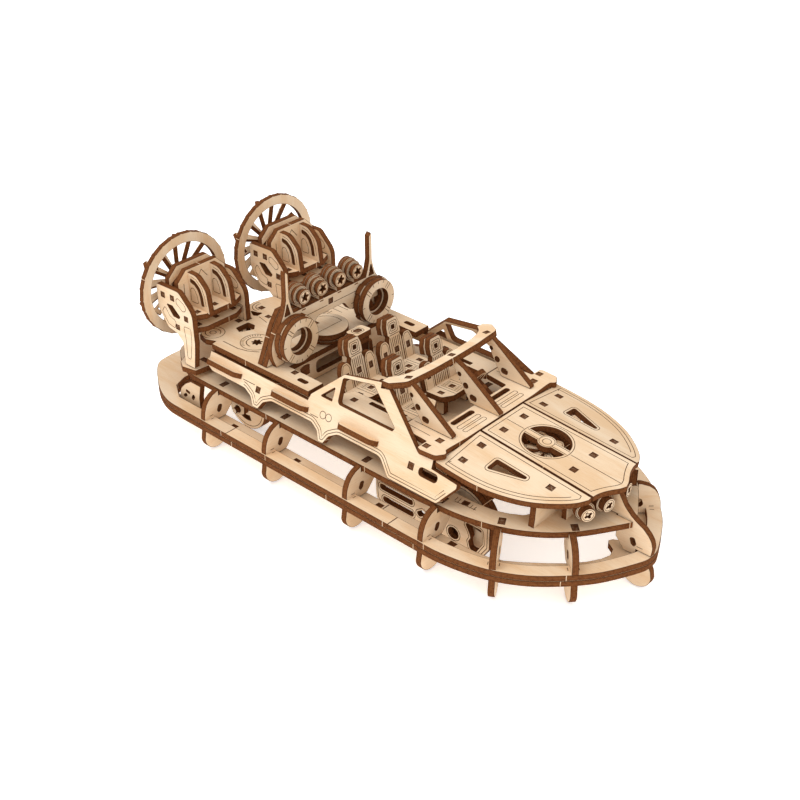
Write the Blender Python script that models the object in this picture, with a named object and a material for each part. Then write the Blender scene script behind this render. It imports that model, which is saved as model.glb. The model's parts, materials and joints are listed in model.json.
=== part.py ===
import math

import bmesh
import bpy
from mathutils import Matrix, Vector

# Remove everything from the start scene.
for _old in list(bpy.data.objects):
    bpy.data.objects.remove(_old, do_unlink=True)

# Driving dimensions in millimetres; X forward, Y to port, Z up, lower ring underside at z = 0.
MM = 0.001
PLY = 3.0
GROUND_Z = -13.4
CENTRE_X = 47.25
RING_Z = (1.43, 4.57)
RING_T = 2.82
DECK_RING_Z = 18.5
REAR_DECK_Z = 38.5
PANEL_K = 0.416
PANEL_Y0 = 59.35
BONNET_SLOPE = -0.0904
RING_X = -76.8
FAN_Y = 31.3
FAN_Z = 58.2
FAN_R = 27.5
FAN_HOLE_R = 22.0
AXLE_R = 1.6
ARC_STEP = 36.0

# Birch and burnt tones, one per kind of piece.
BIRCH = (0.78, 0.62, 0.43)
BIRCH_LIGHT = (0.84, 0.69, 0.50)
BIRCH_WARM = (0.72, 0.55, 0.36)


def material(name, rgb):
    mat = bpy.data.materials.new(name)
    mat.diffuse_color = (*rgb, 1.0)
    mat.use_nodes = True
    bsdf = mat.node_tree.nodes["Principled BSDF"]
    bsdf.inputs["Base Color"].default_value = (*rgb, 1.0)
    bsdf.inputs["Roughness"].default_value = 0.62
    return mat


# Outlines in plate coordinates.
def rnd(points):
    """Closed polyline from (u, v) or (u, v, radius) corners, each radius filleted with short chords."""
    out = []
    n = len(points)
    for i in range(n):
        p = Vector(points[i][:2])
        r = points[i][2] if len(points[i]) > 2 else 0.0
        if r <= 0:
            out.append(tuple(p))
            continue
        a = (Vector(points[i - 1][:2]) - p).normalized()
        b = (Vector(points[(i + 1) % n][:2]) - p).normalized()
        half = a.angle(b) / 2
        if half < 0.02 or half > math.pi / 2 - 0.02:
            out.append(tuple(p))
            continue
        d = r / math.tan(half)
        c = p + (a + b).normalized() * (r / math.sin(half))
        s = p + a * d - c
        sweep = math.pi - 2 * half
        e = p + b * d - c
        turn = 1 if s.x * e.y - s.y * e.x > 0 else -1
        k = max(2, int(math.degrees(sweep) / ARC_STEP) + 1)
        for j in range(k + 1):
            t = turn * sweep * j / k
            out.append((c.x + s.x * math.cos(t) - s.y * math.sin(t), c.y + s.x * math.sin(t) + s.y * math.cos(t)))
    keep = [q for i, q in enumerate(out) if math.dist(q, out[i - 1]) > 0.12]
    return keep


def circle(cu, cv, r, n=24):
    return [(cu + r * math.cos(2 * math.pi * i / n), cv + r * math.sin(2 * math.pi * i / n)) for i in range(n)]


def box(cu, cv, w, h, turn=0.0, r=0.0):
    c, s = math.cos(math.radians(turn)), math.sin(math.radians(turn))
    pts = [(-w / 2, -h / 2), (w / 2, -h / 2), (w / 2, h / 2), (-w / 2, h / 2)]
    pts = [(cu + a * c - b * s, cv + a * s + b * c, r) for a, b in pts]
    return rnd(pts)


def slot(cu, cv, length, width, turn=0.0):
    return box(cu, cv, length, width, turn, width * 0.46)


def arc(cu, cv, r, a0, a1, step=ARC_STEP):
    n = max(2, int(abs(a1 - a0) / step) + 1)
    return [(cu + r * math.cos(math.radians(a0 + (a1 - a0) * i / n)),
             cv + r * math.sin(math.radians(a0 + (a1 - a0) * i / n))) for i in range(n + 1)]


# Smooth a sparse outline with a centripetal spline so curved hull edges stay fair.
def smooth(points, sub=3):
    out = []
    n = len(points)
    for i in range(n - 1):
        p0 = Vector(points[max(i - 1, 0)])
        p1 = Vector(points[i])
        p2 = Vector(points[i + 1])
        p3 = Vector(points[min(i + 2, n - 1)])
        for j in range(sub):
            t = j / sub
            q = 0.5 * (2 * p1 + (p2 - p0) * t + (2 * p0 - 5 * p1 + 4 * p2 - p3) * t * t
                       + (3 * p1 - p0 - 3 * p2 + p3) * t ** 3)
            out.append((q.x, q.y))
    out.append(tuple(points[-1]))
    return out


def plane(origin, u, v):
    """Plate frame: local x along u, local y along v, thickness along u cross v."""
    u = Vector(u).normalized()
    v = Vector(v)
    w = u.cross(v).normalized()
    v = w.cross(u).normalized()
    m = Matrix((u, v, w)).transposed().to_4x4()
    return Matrix.Translation(Vector(origin)) @ m


def level(z):
    return plane((0, 0, z), (1, 0, 0), (0, 1, 0))


def cross(x):
    return plane((x, 0, 0), (0, 1, 0), (0, 0, 1))


def along(y):
    return plane((0, y, 0), (1, 0, 0), (0, 0, 1))


# Turn flat outlines into one extruded plate mesh in place.
def plate(loops, frame, t=PLY):
    cu = bpy.data.curves.new("outline", "CURVE")
    cu.dimensions = "2D"
    cu.fill_mode = "BOTH"
    cu.extrude = t / 2 * MM
    for loop in loops:
        sp = cu.splines.new("POLY")
        sp.points.add(len(loop) - 1)
        flat = []
        for p in loop:
            flat += [p[0] * MM, p[1] * MM, 0.0, 1.0]
        sp.points.foreach_set("co", flat)
        sp.use_cyclic_u = True
    ob = bpy.data.objects.new("outline", cu)
    bpy.context.scene.collection.objects.link(ob)
    deps = bpy.context.evaluated_depsgraph_get()
    me = bpy.data.meshes.new_from_object(ob.evaluated_get(deps))
    bpy.data.objects.remove(ob, do_unlink=True)
    bm = bmesh.new()
    bm.from_mesh(me)
    bmesh.ops.remove_doubles(bm, verts=bm.verts, dist=1e-6)
    bmesh.ops.recalc_face_normals(bm, faces=bm.faces)
    place = frame.copy()
    place.translation = place.translation * MM
    bm.transform(place)
    return bm


# Round parts as cylinders with their axis along a direction.
def drum(centre, axis, r, length, n=24, hole=0.0):
    m = Vector((0, 0, 1)).rotation_difference(Vector(axis).normalized()).to_matrix().to_4x4()
    m.translation = Vector(centre)
    loops = [circle(0, 0, r, n)]
    if hole > 0:
        loops.append(circle(0, 0, hole, max(12, (n * 2) // 3)))
    return plate(loops, m, length)


def block(x0, x1, y0, y1, z0, z1):
    bm = bmesh.new()
    bmesh.ops.create_cube(bm, size=1.0)
    m = Matrix.Diagonal((x1 - x0, y1 - y0, z1 - z0, 1.0))
    m.translation = Vector(((x0 + x1) / 2, (y0 + y1) / 2, (z0 + z1) / 2))
    sc = Matrix.Diagonal((MM, MM, MM, 1.0))
    bm.transform(sc @ m)
    return bm


# Set one finished mesh down as a named object; at is the point in millimetres its origin sits on.
def node(name, pieces, rgb, at=None, cuts=()):
    """One solid object: the first piece, the others joined to it by union, then the cuts taken out."""
    shift = Vector((-CENTRE_X, 0, -GROUND_Z)) * MM
    origin = Vector((0, 0, 0))
    if at is not None:
        origin = Vector(at) * MM + shift
    ob = None
    for k, bm in enumerate(list(pieces) + list(cuts)):
        bmesh.ops.translate(bm, vec=shift - origin, verts=bm.verts)
        me = bpy.data.meshes.new(name)
        bm.to_mesh(me)
        bm.free()
        if k == 0:
            me.materials.append(material(name + "_mat", rgb))
            ob = bpy.data.objects.new(name, me)
            ob.location = origin
            MODEL.objects.link(ob)
            continue
        tool = bpy.data.objects.new("cutter_" + name + "_" + str(k), me)
        tool.location = origin
        tool.hide_render = True
        tool.display_type = "WIRE"
        CUTTERS.objects.link(tool)
        mod = ob.modifiers.new("step_" + str(k), "BOOLEAN")
        mod.operation = "UNION" if k < len(pieces) else "DIFFERENCE"
        mod.solver = "EXACT"
        mod.object = tool
    return ob


MODEL = bpy.data.collections.new("rescue_hovercraft")
CUTTERS = bpy.data.collections.new("cutters")
bpy.context.scene.collection.children.link(MODEL)
bpy.context.scene.collection.children.link(CUTTERS)


# Stations along the hull where each lower ring ply is jointed, stern joint then bow joint.
TOP_JOINTS = (-17.6, 90.9)
BASE_JOINTS = (-37.9, 78.9)
JOINT_GAP = 0.3

# Hull rings: half outlines from the stern round to the bow, then mirrored.
def sym(half):
    """Close a half outline given for positive v by its mirror image."""
    back = [(p[0], -p[1]) for p in reversed(half) if abs(p[1]) > 1e-6]
    return [(p[0], p[1]) for p in half] + back


def inset(half, d):
    """Half outline moved inwards by d along its local normal."""
    out = []
    n = len(half)
    for i, p in enumerate(half):
        a = Vector(half[max(i - 1, 0)][:2])
        b = Vector(half[min(i + 1, n - 1)][:2])
        t = (b - a).normalized()
        out.append((p[0] + t.y * d, p[1] - t.x * d))
    return out


def stretch(half, x0, x1):
    """Part of a half outline between two stations along the hull, its ends cut square."""
    out = []
    for i, p in enumerate(half):
        a = half[i - 1]
        for cut in (x0, x1):
            if i and a[0] < cut < p[0]:
                out.append((cut, a[1] + (p[1] - a[1]) * (cut - a[0]) / (p[0] - a[0])))
        if x0 <= p[0] <= x1:
            out.append((p[0], p[1]))
    return out


def ring_parts(outer, inner, joints):
    """Closed outlines of the four segments of a hull ring: stern, starboard, port and bow."""
    aft = joints[0] - JOINT_GAP / 2
    fore = joints[1] + JOINT_GAP / 2
    stern = stretch(outer, -200, aft) + stretch(inner, -200, aft)[::-1]
    side = stretch(outer, aft + JOINT_GAP, fore - JOINT_GAP) + stretch(inner, aft + JOINT_GAP, fore - JOINT_GAP)[::-1]
    bow = stretch(outer, fore, 300)[::-1] + stretch(inner, fore, 300)
    return {"stern": sym(stern), "starboard": [(p[0], -p[1]) for p in side], "port": side, "bow": sym(bow)}


LOWER_STERN = [(-98, 29), (-97, 36.2), (-93.5, 41.5), (-84.6, 48.7), (-73, 56), (-62, 59.8), (-50, 60.4)]
LOWER_BOW = [(105, 60.4), (121, 60.0), (140.8, 55.9), (156.6, 48.3), (169.6, 37.4), (180.9, 24), (189.8, 6.7),
             (191.3, 0)]
UPPER_STERN = [(-82, 30), (-79.5, 35.5), (-74, 40.2), (-66, 45.2), (-54, 49.3)]
UPPER_BOW = [(100, 49.4), (122, 47.6), (141, 42.3), (156, 33.6), (167.6, 22), (177.2, 7.6), (180.6, 1.8)]
LOWER_HALF = [(-98, 0)] + smooth(LOWER_STERN, 1) + smooth(LOWER_BOW, 2)
TOP_STERN = [(-74, 0), (-74, 39), (-71, 47), (-61, 53.4)]
BASE_INNER = [(-74, 0), (-74, 39), (-71, 47), (-66.5, 48.6), (-60, 45.4), (105, 46.2), (124, 46.2), (133, 45.6),
              (138, 44.4), (143, 42.3), (150, 37.4), (158, 31.0), (165, 24.8), (170, 18.8), (173.6, 12.8), (175, 8.2),
              (173.5, 4.2), (169.5, 1.8), (168.5, 0)]
top_bow = [p for p in inset(smooth(LOWER_BOW, 2), 7.0) if p[1] > 1.0]
TOP_INNER = TOP_STERN + top_bow + [(184.3, 0)]


# Ribs: outline in (outward, up) from the hull centre line, one foot under each.
RIB_X = [-35.2, 9.3, 63.4, 109.5]
BOW_RIBS = [  # x and y where the rib meets the lower ring edge, heading in degrees, reach of the deck ring edge
    (145.6, 54.0, 60.5, 47.5),
    (174.0, 33.0, 43.0, 47.95),
]
RIB_ARC = [(53.6, 18.4), (56.6, 16.0), (58.8, 12.0), (59.6, 8.0), (59.7, 5.4)]


def rib_loops(edge):
    """Upper part of a rib; edge is the reach where the deck ring ends."""
    loop = [(40.9, 16.7), (edge + 0.35, 16.7), (edge + 0.35, 19.7)]
    if edge < 49.0:
        loop += [(49.8, 19.6)]
    loop += RIB_ARC + [(53.6, 5.4), (53.6, 3.3), (46.0, 3.3), (40.9, 9.0)]
    return [loop, box(49.6, 9.2, 4.4, 2.4, 118)]


FOOT = [(59.6, 0.7), (60.0, -1.9)] + arc(52.7, -4.6, 7.9, -5, -175, 30) + [(45.6, 0.7)]


def upright(x, y, heading, reach):
    """Upright plate frame whose first axis points outwards and passes reach at (x, y)."""
    h = math.radians(heading)
    d = Vector((math.cos(h), math.sin(h), 0))
    return plane(Vector((x, y, 0)) - d * reach, d, (0, 0, 1))


rib_places = []
for s in (-1, 1):
    for x in RIB_X:
        rib_places.append((x, s, upright(x, s * 60.0, s * 90.0, 60.0), 49.4))
    for x, y, heading, edge in BOW_RIBS:
        rib_places.append((x, s, upright(x, s * y, s * heading, 60.0), edge))


def segment_of(x, s, joints):
    """Name of the ring segment that carries the rib or foot at station x on side s."""
    if x < joints[0]:
        return "stern"
    if x > joints[1]:
        return "bow"
    return "port" if s > 0 else "starboard"


# Each segment is one piece with the ribs or feet that stand in it.
KEEL_FOOT = [(190.6, 0.7), (191.8, -1.9)] + arc(184.6, -4.9, 7.9, -5, -175, 24) + [(177.6, 0.7)]
for name, outline in ring_parts(LOWER_HALF, BASE_INNER, BASE_JOINTS).items():
    pieces = [plate([outline], level(RING_Z[0]), RING_T)]
    for x, s, frame, edge in rib_places:
        if segment_of(x, s, BASE_JOINTS) == name:
            pieces.append(plate([FOOT], frame))
    if name == "bow":
        pieces.append(plate([KEEL_FOOT], along(0.0)))
    node("lower_ring_base_" + name, pieces, BIRCH)
for name, outline in ring_parts(LOWER_HALF, TOP_INNER, TOP_JOINTS).items():
    pieces = [plate([outline], level(RING_Z[1]), RING_T)]
    for x, s, frame, edge in rib_places:
        if segment_of(x, s, TOP_JOINTS) == name:
            pieces.append(plate(rib_loops(edge), frame))
    node("lower_ring_top_" + name, pieces, BIRCH_LIGHT)

# Rolling wheels, two to an axle: name, axle x and z, wheel radius, centre y, width, axle length.
WHEELS = [
    ("front", 110.8, 4.2, 17.6, 30.5, 3.0, 66.0),
    ("rear", -36.6, 0.5, 13.9, 27.0, 5.8, 76.0),
]

# Deck ring with the uprights that carry the bonnet, the lamp boards and the brackets of both axles.
upper_half = [(-82, 0)] + smooth(UPPER_STERN, 1) + smooth(UPPER_BOW, 2) + [(172.2, 1.8), (172.2, 0.0)]
BRACKETS = [  # plate's y, bore x and z, outline
    (34.0, -36.6, 0.5, [(-43.0, 17.8), (-30.0, 17.8), (-32.0, -1.0), (-34.6, -2.6), (-38.6, -2.6), (-41.0, -1.0)]),
    (24.0, 110.8, 4.2, [(92.4, 18.4), (97.2, 18.4), (104.0, 13.0), (112.6, 9.4), (115.0, 6.4), (115.0, 2.4),
                        (112.6, 0.2), (108.6, 0.2), (92.4, 11.0)]),
]
posts = []
for s in (-1, 1):
    loop = [(s * 16.5, 18.6), (s * 34.2, 18.6), (s * 33.4, 24.0), (s * 33.0, 31.6), (s * 16.5, 33.7)]
    posts.append(plate([loop], cross(150.0)))
    loop = [(s * 3.2, 18.6), (s * 19.8, 18.6), (s * 19.8, 30.4), (s * 3.2, 31.6)]
    posts.append(plate([loop], cross(157.0), 2.4))
    for y, x, z, loop in BRACKETS:
        posts.append(plate([loop, circle(x, z, AXLE_R + 0.4, 12)], along(s * y)))
cabin_hole = rnd([(-30, -31, 4), (92, -31, 4), (92, 31, 4), (-30, 31, 4)])
WHEEL_WELL = rnd([(97.6, 12, 2), (97.6, 36.8, 3), (124.0, 36.0), (131.0, 35.0), (137.0, 32.7), (142.7, 29.2, 3),
                  (144.5, 26.0, 2), (144.5, 12, 2)])
ring_loops = [sym(upper_half), cabin_hole, circle(131.8, 0, 1.72, 14), WHEEL_WELL,
              [(p[0], -p[1]) for p in WHEEL_WELL]]
node("upper_deck_ring", [plate(ring_loops, level(DECK_RING_Z))] + posts, BIRCH)

# Centre keel at the bow, one upright plate from under the bonnet tip down to the ring.
KEEL = [(150, 33.9), (171.6, 32.0), (173.6, 29.2), (175.8, 25.8), (179.4, 22.5), (182.4, 20.6), (185.9, 18.9),
        (188.7, 16.5), (190.5, 14.2), (191.6, 10.8), (191.0, 6.35), (183.4, 6.35), (183.4, 3.2), (177.2, 3.2),
        (172.6, 8.6), (172.6, 20.3), (160, 20.3), (156, 24), (150, 25)]
node("bow_keel", [plate([KEEL, box(181.4, 9.6, 4.4, 2.4, 118)], along(0.0), 3.0)], BIRCH)

# Upright chassis plates under the cabin, with their slots, axle hole and hooked opening.
CHASSIS = rnd([(62.5, 16.7), (62.5, -1), (63.0, -5.5, 2.5), (67, -8.8, 3), (126, -8.8, 3), (131, -1, 3), (131, 16.7)])
CHASSIS_HOLES = [slot(75.5, 2.5, 20.5, 3.0), slot(76.8, -3.9, 19.0, 3.0), slot(91.0, -0.8, 5.0, 2.6, 35),
                 circle(110.3, -2.0, 3.0, 16),
                 rnd([(117.2, 7.2, 1), (126.5, 7.2, 1), (127.2, 0.5, 1), (124.8, -5.6, 1), (120.2, -5.6, 1),
                      (120.6, 0.6, 2)])]
STERN_FRAME = [(-46.4, 16.6), (-48.0, 9.0), (-47.8, 3.2), (-64.2, 3.2), (-62.5, 9.5), (-58.4, 13.8), (-54.0, 16.6)]
for s, side in ((-1, "starboard"), (1, "port")):
    node("chassis_plate_" + side, [plate([CHASSIS] + CHASSIS_HOLES, along(s * 36.0))], BIRCH_WARM)
    holes = [slot(-58.6, 7.6, 3.2, 1.6, 30), slot(-54.0, 7.2, 3.2, 1.6, 30)]
    node("stern_frame_" + side, [plate([STERN_FRAME] + holes, along(s * 49.2))], BIRCH_WARM)

# Floor, and the rear deck with the bulkheads under it.
floor_outline = rnd([(-34, -37, 3), (101.8, -37, 3), (101.8, 37, 3), (-34, 37, 3)])
node("cabin_floor", [plate([floor_outline], level(21.85))], BIRCH)
REAR_DECK = [(-60.6, 0), (-60.0, 5.0), (-58.4, 9.6), (-57.6, 11.6), (-57.6, 36), (-55, 41.2),
             (-49, 42.6), (-43.6, 40.5), (-43.0, 43.6), (24.6, 43.0),
             (24.6, 33.0), (1.5, 33.0)]
deck_holes = [box(-52.7, -1.1, 2.8, 2.8), box(-43.0, -5.3, 2.8, 2.4)]
for s in (1, -1):
    deck_holes += [box(16.0, s * 38.0, 6.0, 2.4),
                   rnd([(-46.2, s * 25.0, 0.6), (-41.8, s * 26.4, 0.6), (-39.0, s * 20.0, 0.6),
                        (-42.4, s * 13.0, 0.6), (-46.0, s * 13.6, 0.6)]),
                   box(-28.0, s * 28.0, 5.0, 3.0, -25 * s)]
walls = []
for x in (-33.0, -2.0):
    walls.append(plate([rnd([(-38, 23.7), (38, 23.7), (38, 37.6), (-38, 37.6)]), box(0, 30, 26, 7)], cross(x)))
leg_slots = [block(-60, -47.9, s * 14.1 - 1.85, s * 14.1 + 1.85, 30, 45) for s in (-1, 1)]
node("rear_deck", [plate([sym(REAR_DECK)] + deck_holes, level(REAR_DECK_Z))] + walls, BIRCH_LIGHT, cuts=leg_slots)

# Leaning side panels with their fender rails; outline in (x, z) of the outer face, stretched along the slope.
N = math.sqrt(1 + PANEL_K ** 2)


def lean(points):
    return [(p[0], p[1] * N) + tuple(p[2:]) for p in points]


def panel_frame(s):
    """Frame of a leaning side panel, thickness centred just inside its outer face."""
    n_out = Vector((0, s * 1.0, PANEL_K)) / N
    origin = Vector((0, s * PANEL_Y0, 0)) - n_out * (PLY / 2)
    return plane(origin, (1, 0, 0), (0, -s * PANEL_K, 1))


PANEL = [(-43.3, 36.4), (-43.3, 29.6, 1), (-39.5, 27.7, 4), (-15.5, 27.7, 5), (-10.5, 25.5, 3), (-7.6, 21.6),
         (-4.0, 21.6), (-1.5, 25.5, 3), (3.5, 27.9, 5), (31.0, 28.0, 5), (35.3, 25.6, 3), (37.4, 21.6),
         (40.6, 21.6), (43.0, 25.6, 3), (48.0, 28.4, 5), (74.5, 28.5, 5), (81.5, 21.6, 3), (110.5, 21.6, 2),
         (118.6, 31.2, 2), (118.4, 33.1, 0.6), (103.4, 34.2), (103.1, 38.1), (93.6, 38.2), (70.0, 56.7), (65.2, 55.8),
         (64.9, 58.3), (43.0, 54.2, 2), (26.4, 39.6), (25.4, 36.4)]
WINDOW = [(42.8, 52.4, 1.2), (61.0, 55.6, 1.6), (78.4, 42.5, 0.8), (77.4, 41.0, 0.6), (43.4, 40.9, 2.0)]
VEE = [(32.4, 40.8, 0.3), (39.7, 40.8, 0.3), (39.7, 47.1, 0.3)]
RAILS = [(-43.3, 31.9), (3.0, 32.3), (47.5, 33.0)]  # start x and height
for s, side in ((-1, "starboard"), (1, "port")):
    holes = [rnd(lean(WINDOW)), rnd(lean(VEE)), box(-6.5, 29.8 * N, 2.8, 2.8), box(92.3, 31.2 * N, 3.0, 3.0),
             slot(102.4, 31.0 * N, 10.6, 3.9)]
    parts = [plate([rnd(lean(PANEL))] + holes, panel_frame(s))]
    n_out = Vector((0, s * 1.0, PANEL_K)) / N
    for x, z in RAILS:
        rail = [(0.3, -0.8), (24.3, -0.8), (24.3, 0.9), (20.3, 2.4), (15.3, 3.3), (0.3, 3.3)]
        at = Vector((x, s * (PANEL_Y0 - PANEL_K * z), z))
        parts.append(plate([rail], plane(at, (1, 0, 0), n_out), 2.6))
    node("side_panel_" + side, parts, BIRCH_LIGHT)


# Bonnet panels: outlines in plan x and y, stretched along their two slopes.
SIDE_FALL = 0.126


def sloped(points, fall=0.0):
    su = math.sqrt(1 + BONNET_SLOPE ** 2)
    sv = math.sqrt(1 + fall ** 2)
    return [(p[0] * su, p[1] * sv) + tuple(p[2:]) for p in points]


def bonnet_frame(s):
    """Plane half a ply under the top face of a bonnet panel; s = 0 centre, -1 starboard, 1 port."""
    fall = SIDE_FALL if s else 0.0
    z0 = 40.6 - BONNET_SLOPE * 113.3 + fall * 15.6
    return plane((0, 0, z0 - PLY / 2), (1, 0, BONNET_SLOPE), (0, s if s else 1, -fall))


CENTRE_HALF = [(106.6, 0), (106.6, 15.1), (168.6, 16.3), (168.9, 13.6), (169.9, 10.2), (171.6, 6.6), (173.4, 3.4),
               (174.6, 0)]
half_hole = arc(131.8, 0, 11.2, 11.5, 168.5, 18)
half_hole = half_hole + [(127.9, 2.2)] + arc(131.8, 0, 4.4, 150, 30, 30) + [(135.7, 2.2)]
centre_holes = [half_hole, [(p[0], -p[1]) for p in reversed(half_hole)]]
centre_holes += [box(x, s * 7.4, 3.0, 3.0) for x in (113.2, 151.9) for s in (1, -1)]
loops = [sloped(loop) for loop in [sym(CENTRE_HALF)] + centre_holes]
node("bonnet_centre", [plate(loops, bonnet_frame(0))], BIRCH_LIGHT)
SIDE_BONNET = [(106.6, 15.8), (168.4, 17.0), (168.5, 18.9), (165.6, 23.8), (160.4, 29.1), (152.6, 35.0),
               (145.0, 38.9), (135.2, 42.1), (125.4, 43.7), (115.0, 44.1), (104.9, 43.9), (104.1, 42.6),
               (104.6, 40.6), (106.0, 38.0)]
VENT = [(124.0, 25.0, 0.8), (140.6, 25.2, 0.7), (140.6, 26.6, 0.7), (124.0, 32.2, 0.8)]
for s, side in ((-1, "starboard"), (1, "port")):
    loops = [SIDE_BONNET, rnd(VENT)] + [box(x, y, 3.2, 2.8) for x, y in ((113.0, 35.0), (113.1, 22.5), (151.9, 23.5))]
    loops = [sloped(loop, SIDE_FALL) for loop in loops]
    node("bonnet_side_" + side, [plate(loops, bonnet_frame(s))], BIRCH_LIGHT)

# Lift fan on its axle, seen through the round opening.
FAN_AT = (131.8, 0.0, 31.0)
fan = [drum(FAN_AT, (0, 0, 1), 3.8, 4.0, 20), drum((131.8, 0, 22.5), (0, 0, 1), 1.4, 16.0, 12)]
for i in range(6):
    a = math.radians(60 * i + 20)
    d = Vector((math.cos(a), math.sin(a), 0))
    pitch = math.radians(28)
    w = Vector((-math.sin(a) * math.cos(pitch), math.cos(a) * math.cos(pitch), math.sin(pitch)))
    fan.append(plate([[(2.6, -1.4), (9.4, -2.7), (10.6, 0), (9.4, 2.7), (2.6, 1.4)]], plane(FAN_AT, d, w), 1.4))
node("lift_fan", fan, BIRCH, at=FAN_AT)

# Dashboard plate, then the windscreen posts with the roof bar they carry.
DASH = [(106.0, 24), (105.3, 35), (105.3, 37.9), (106.9, 39.4), (107.2, 40.0), (104.6, 44.6), (96.0, 45.2),
        (94.3, 44.4), (94.3, 38.3), (78.0, 37.4), (78.0, 24.0), (91.0, 22.4)]
dash_loop = DASH + [(p[0], -p[1]) for p in reversed(DASH)]
dash_holes = [box(98.4, s * 34.0, 3.0, 3.0) for s in (1, -1)]
dash_holes += [slot(94.0, s * 13.0, 15.0, 2.6, 90) for s in (1, -1)]
node("dash_plate", [plate([dash_loop] + dash_holes, level(39.9), 2.7)], BIRCH_LIGHT)
POST = [(74.5, 59.5), (77.2, 60.1), (80.0, 58.4), (101.8, 42.6), (101.8, 41.55), (84.6, 41.55), (82.2, 45.0),
        (79.0, 50.0)]
POST_MID = [(76.6, 59.9), (79.0, 60.4), (84.2, 58.2), (106.0, 42.6), (106.0, 41.55), (88.8, 41.55), (86.4, 45.0),
            (83.2, 50.0)]
BAR = [(65.6, 35.8), (70.6, 36.6, 1), (77.6, 31.8, 4), (79.3, 15.0), (79.6, 0)]
BAR_IN = [(73.5, 0), (73.3, 14.0), (71.8, 23.6), (69.2, 28.2), (65.6, 31.4)]
bar = rnd(BAR)[:-1]
bar = bar + [(79.6, 0)] + [(p[0], -p[1]) for p in reversed(bar)]
bar = bar + [(p[0], -p[1]) for p in reversed(BAR_IN[1:])] + BAR_IN
roof = plane((65, 0, 57.85), (1, 0, 0.2), (0, 1, 0)) @ Matrix.Translation((-65, 0, 0))
parts = [plate([bar], roof)]
for y, loop, dx in ((-28.4, POST, 0.0), (0.0, POST_MID, 4.2), (28.4, POST, 0.0)):
    holes = [circle(77.6 + dx, 54.2, 1.2, 8), box(82.0 + dx, 49.5, 3.4, 2.2, 0), box(86.1 + dx, 44.8, 4.6, 2.4, 0)]
    parts.append(plate([loop] + holes, along(y)))
node("windscreen_frame", parts, BIRCH_LIGHT)


# Bucket seats in two rows: back with its two wings and headrest, cushion, and supports down to the floor.
SEAT_LEAN = 0.28
SEAT_BACK = [(4.6, 0), (4.6, 9.2), (11.8, 9.9), (12.0, 20.5), (10.2, 24.6), (8.0, 25.4), (6.2, 24.6), (5.4, 22.0),
             (4.2, 25.6), (4.0, 28.4), (2.8, 33.9)]
SEAT_HEAD = [(-4.6, 27.2), (4.6, 27.2), (4.6, 31.2), (3.4, 34.8), (-3.4, 34.8), (-4.6, 31.2)]
SEAT_CUSHION = [(-2.2, -11.8), (9.0, -11.8), (12.0, -7.0), (12.4, 0), (12.0, 7.0), (9.0, 11.8), (-2.2, 11.8)]


def seat(x, y):
    back = plane((x, y, 23.8), (0, 1, 0), (-SEAT_LEAN, 0, 1))
    outline = SEAT_BACK + [(-u, v) for u, v in reversed(SEAT_BACK)]
    parts = [plate([outline], back)]
    head = plane((x - 0.6, y, 23.8), (0, 1, 0), (-SEAT_LEAN, 0, 1))
    parts.append(plate([SEAT_HEAD], head, 7.8))
    parts.append(plate([SEAT_CUSHION], plane((x, y, 32.4), (1, 0, 0.06), (0, 1, 0))))
    for s in (-1, 1):
        parts.append(block(x - 3.2, x + 9.0, y + s * 8.5 - 1.5, y + s * 8.5 + 1.5, 23.7, 32.0))
    return parts


for row, x in (("front", 60.1), ("rear", 32.1)):
    for s, side in ((-1, "starboard"), (1, "port")):
        node("seat_" + row + "_" + side, seat(x, s * 13.5), BIRCH)

# Console between the rows, the round stack behind it and the steering wheel.
console = [block(13.2, 19.2, -4.5, 4.5, 23.7, 50.6),
           plate([rnd([(12.2, -5.6, 2), (20.2, -5.6, 2), (20.2, 5.6, 2), (12.2, 5.6, 2)])],
                 plane((0, 0, 50.0), (1, 0, 0.08), (0, 1, 0)))]
node("console", console, BIRCH)
node("round_stack", [drum((-6.4, 0, 45.4), (0, 0, 1), 11.6, 2.8, 36), drum((-6.4, 0, 42.4), (0, 0, 1), 8.6, 4.0, 28)],
     BIRCH_LIGHT)
wheel_axis = Vector((-0.86, 0, 0.5)).normalized()
hub = Vector((80.0, 13.5, 44.5))
node("steering_wheel", [drum(hub, wheel_axis, 5.4, 2.4, 20), drum(hub - wheel_axis * 5.9, wheel_axis, 1.3, 11.4, 12)],
     BIRCH_WARM)

# Light arch across the deck: three upright plies with mast tips and slanted legs.
FRONT_LEG = [(38.0, 40.3), (40.2, 46.0), (40.4, 52.0), (38.0, 58.0), (34.4, 62.3), (31.6, 67.0), (29.8, 73.5)]
MAST = [(29.7, 86.8), (29.3, 88.3), (27.8, 86.6), (27.8, 74.0), (26.6, 69.0), (25.2, 65.2)]
BACK_LEG = [(41.6, 40.3), (37.8, 48.5), (33.4, 58.2), (28.6, 65.2)]
ARCHES = [  # name, centre x, outer half outline, lower half outline from the leg's foot inwards
    ("front", -3.6, FRONT_LEG + MAST, [(32.6, 40.3), (34.4, 46.0), (33.8, 51.5), (13.5, 51.5), (8.5, 57.0)]),
    ("mid", -6.9, BACK_LEG, [(36.0, 40.3), (29.6, 54.6), (26.4, 57.6)]),
    ("rear", -10.2, BACK_LEG, [(36.0, 40.3), (29.6, 54.6), (26.4, 57.6)]),
]
for name, x, outer, inner in ARCHES:
    loop = outer + [(-p[0], p[1]) for p in reversed(outer)]
    loop = loop + [(-p[0], p[1]) for p in inner] + [(p[0], p[1]) for p in reversed(inner)]
    holes = []
    if name == "front":
        holes = [box(0, 61.6, 2.8, 2.8)]
        for s in (1, -1):
            holes.append([(s * 31.1, 65.0), (s * 29.0, 71.8), (s * 27.3, 65.2)])
    node("arch_" + name + "_ply", [plate([loop] + holes, cross(x))], BIRCH)

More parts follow.
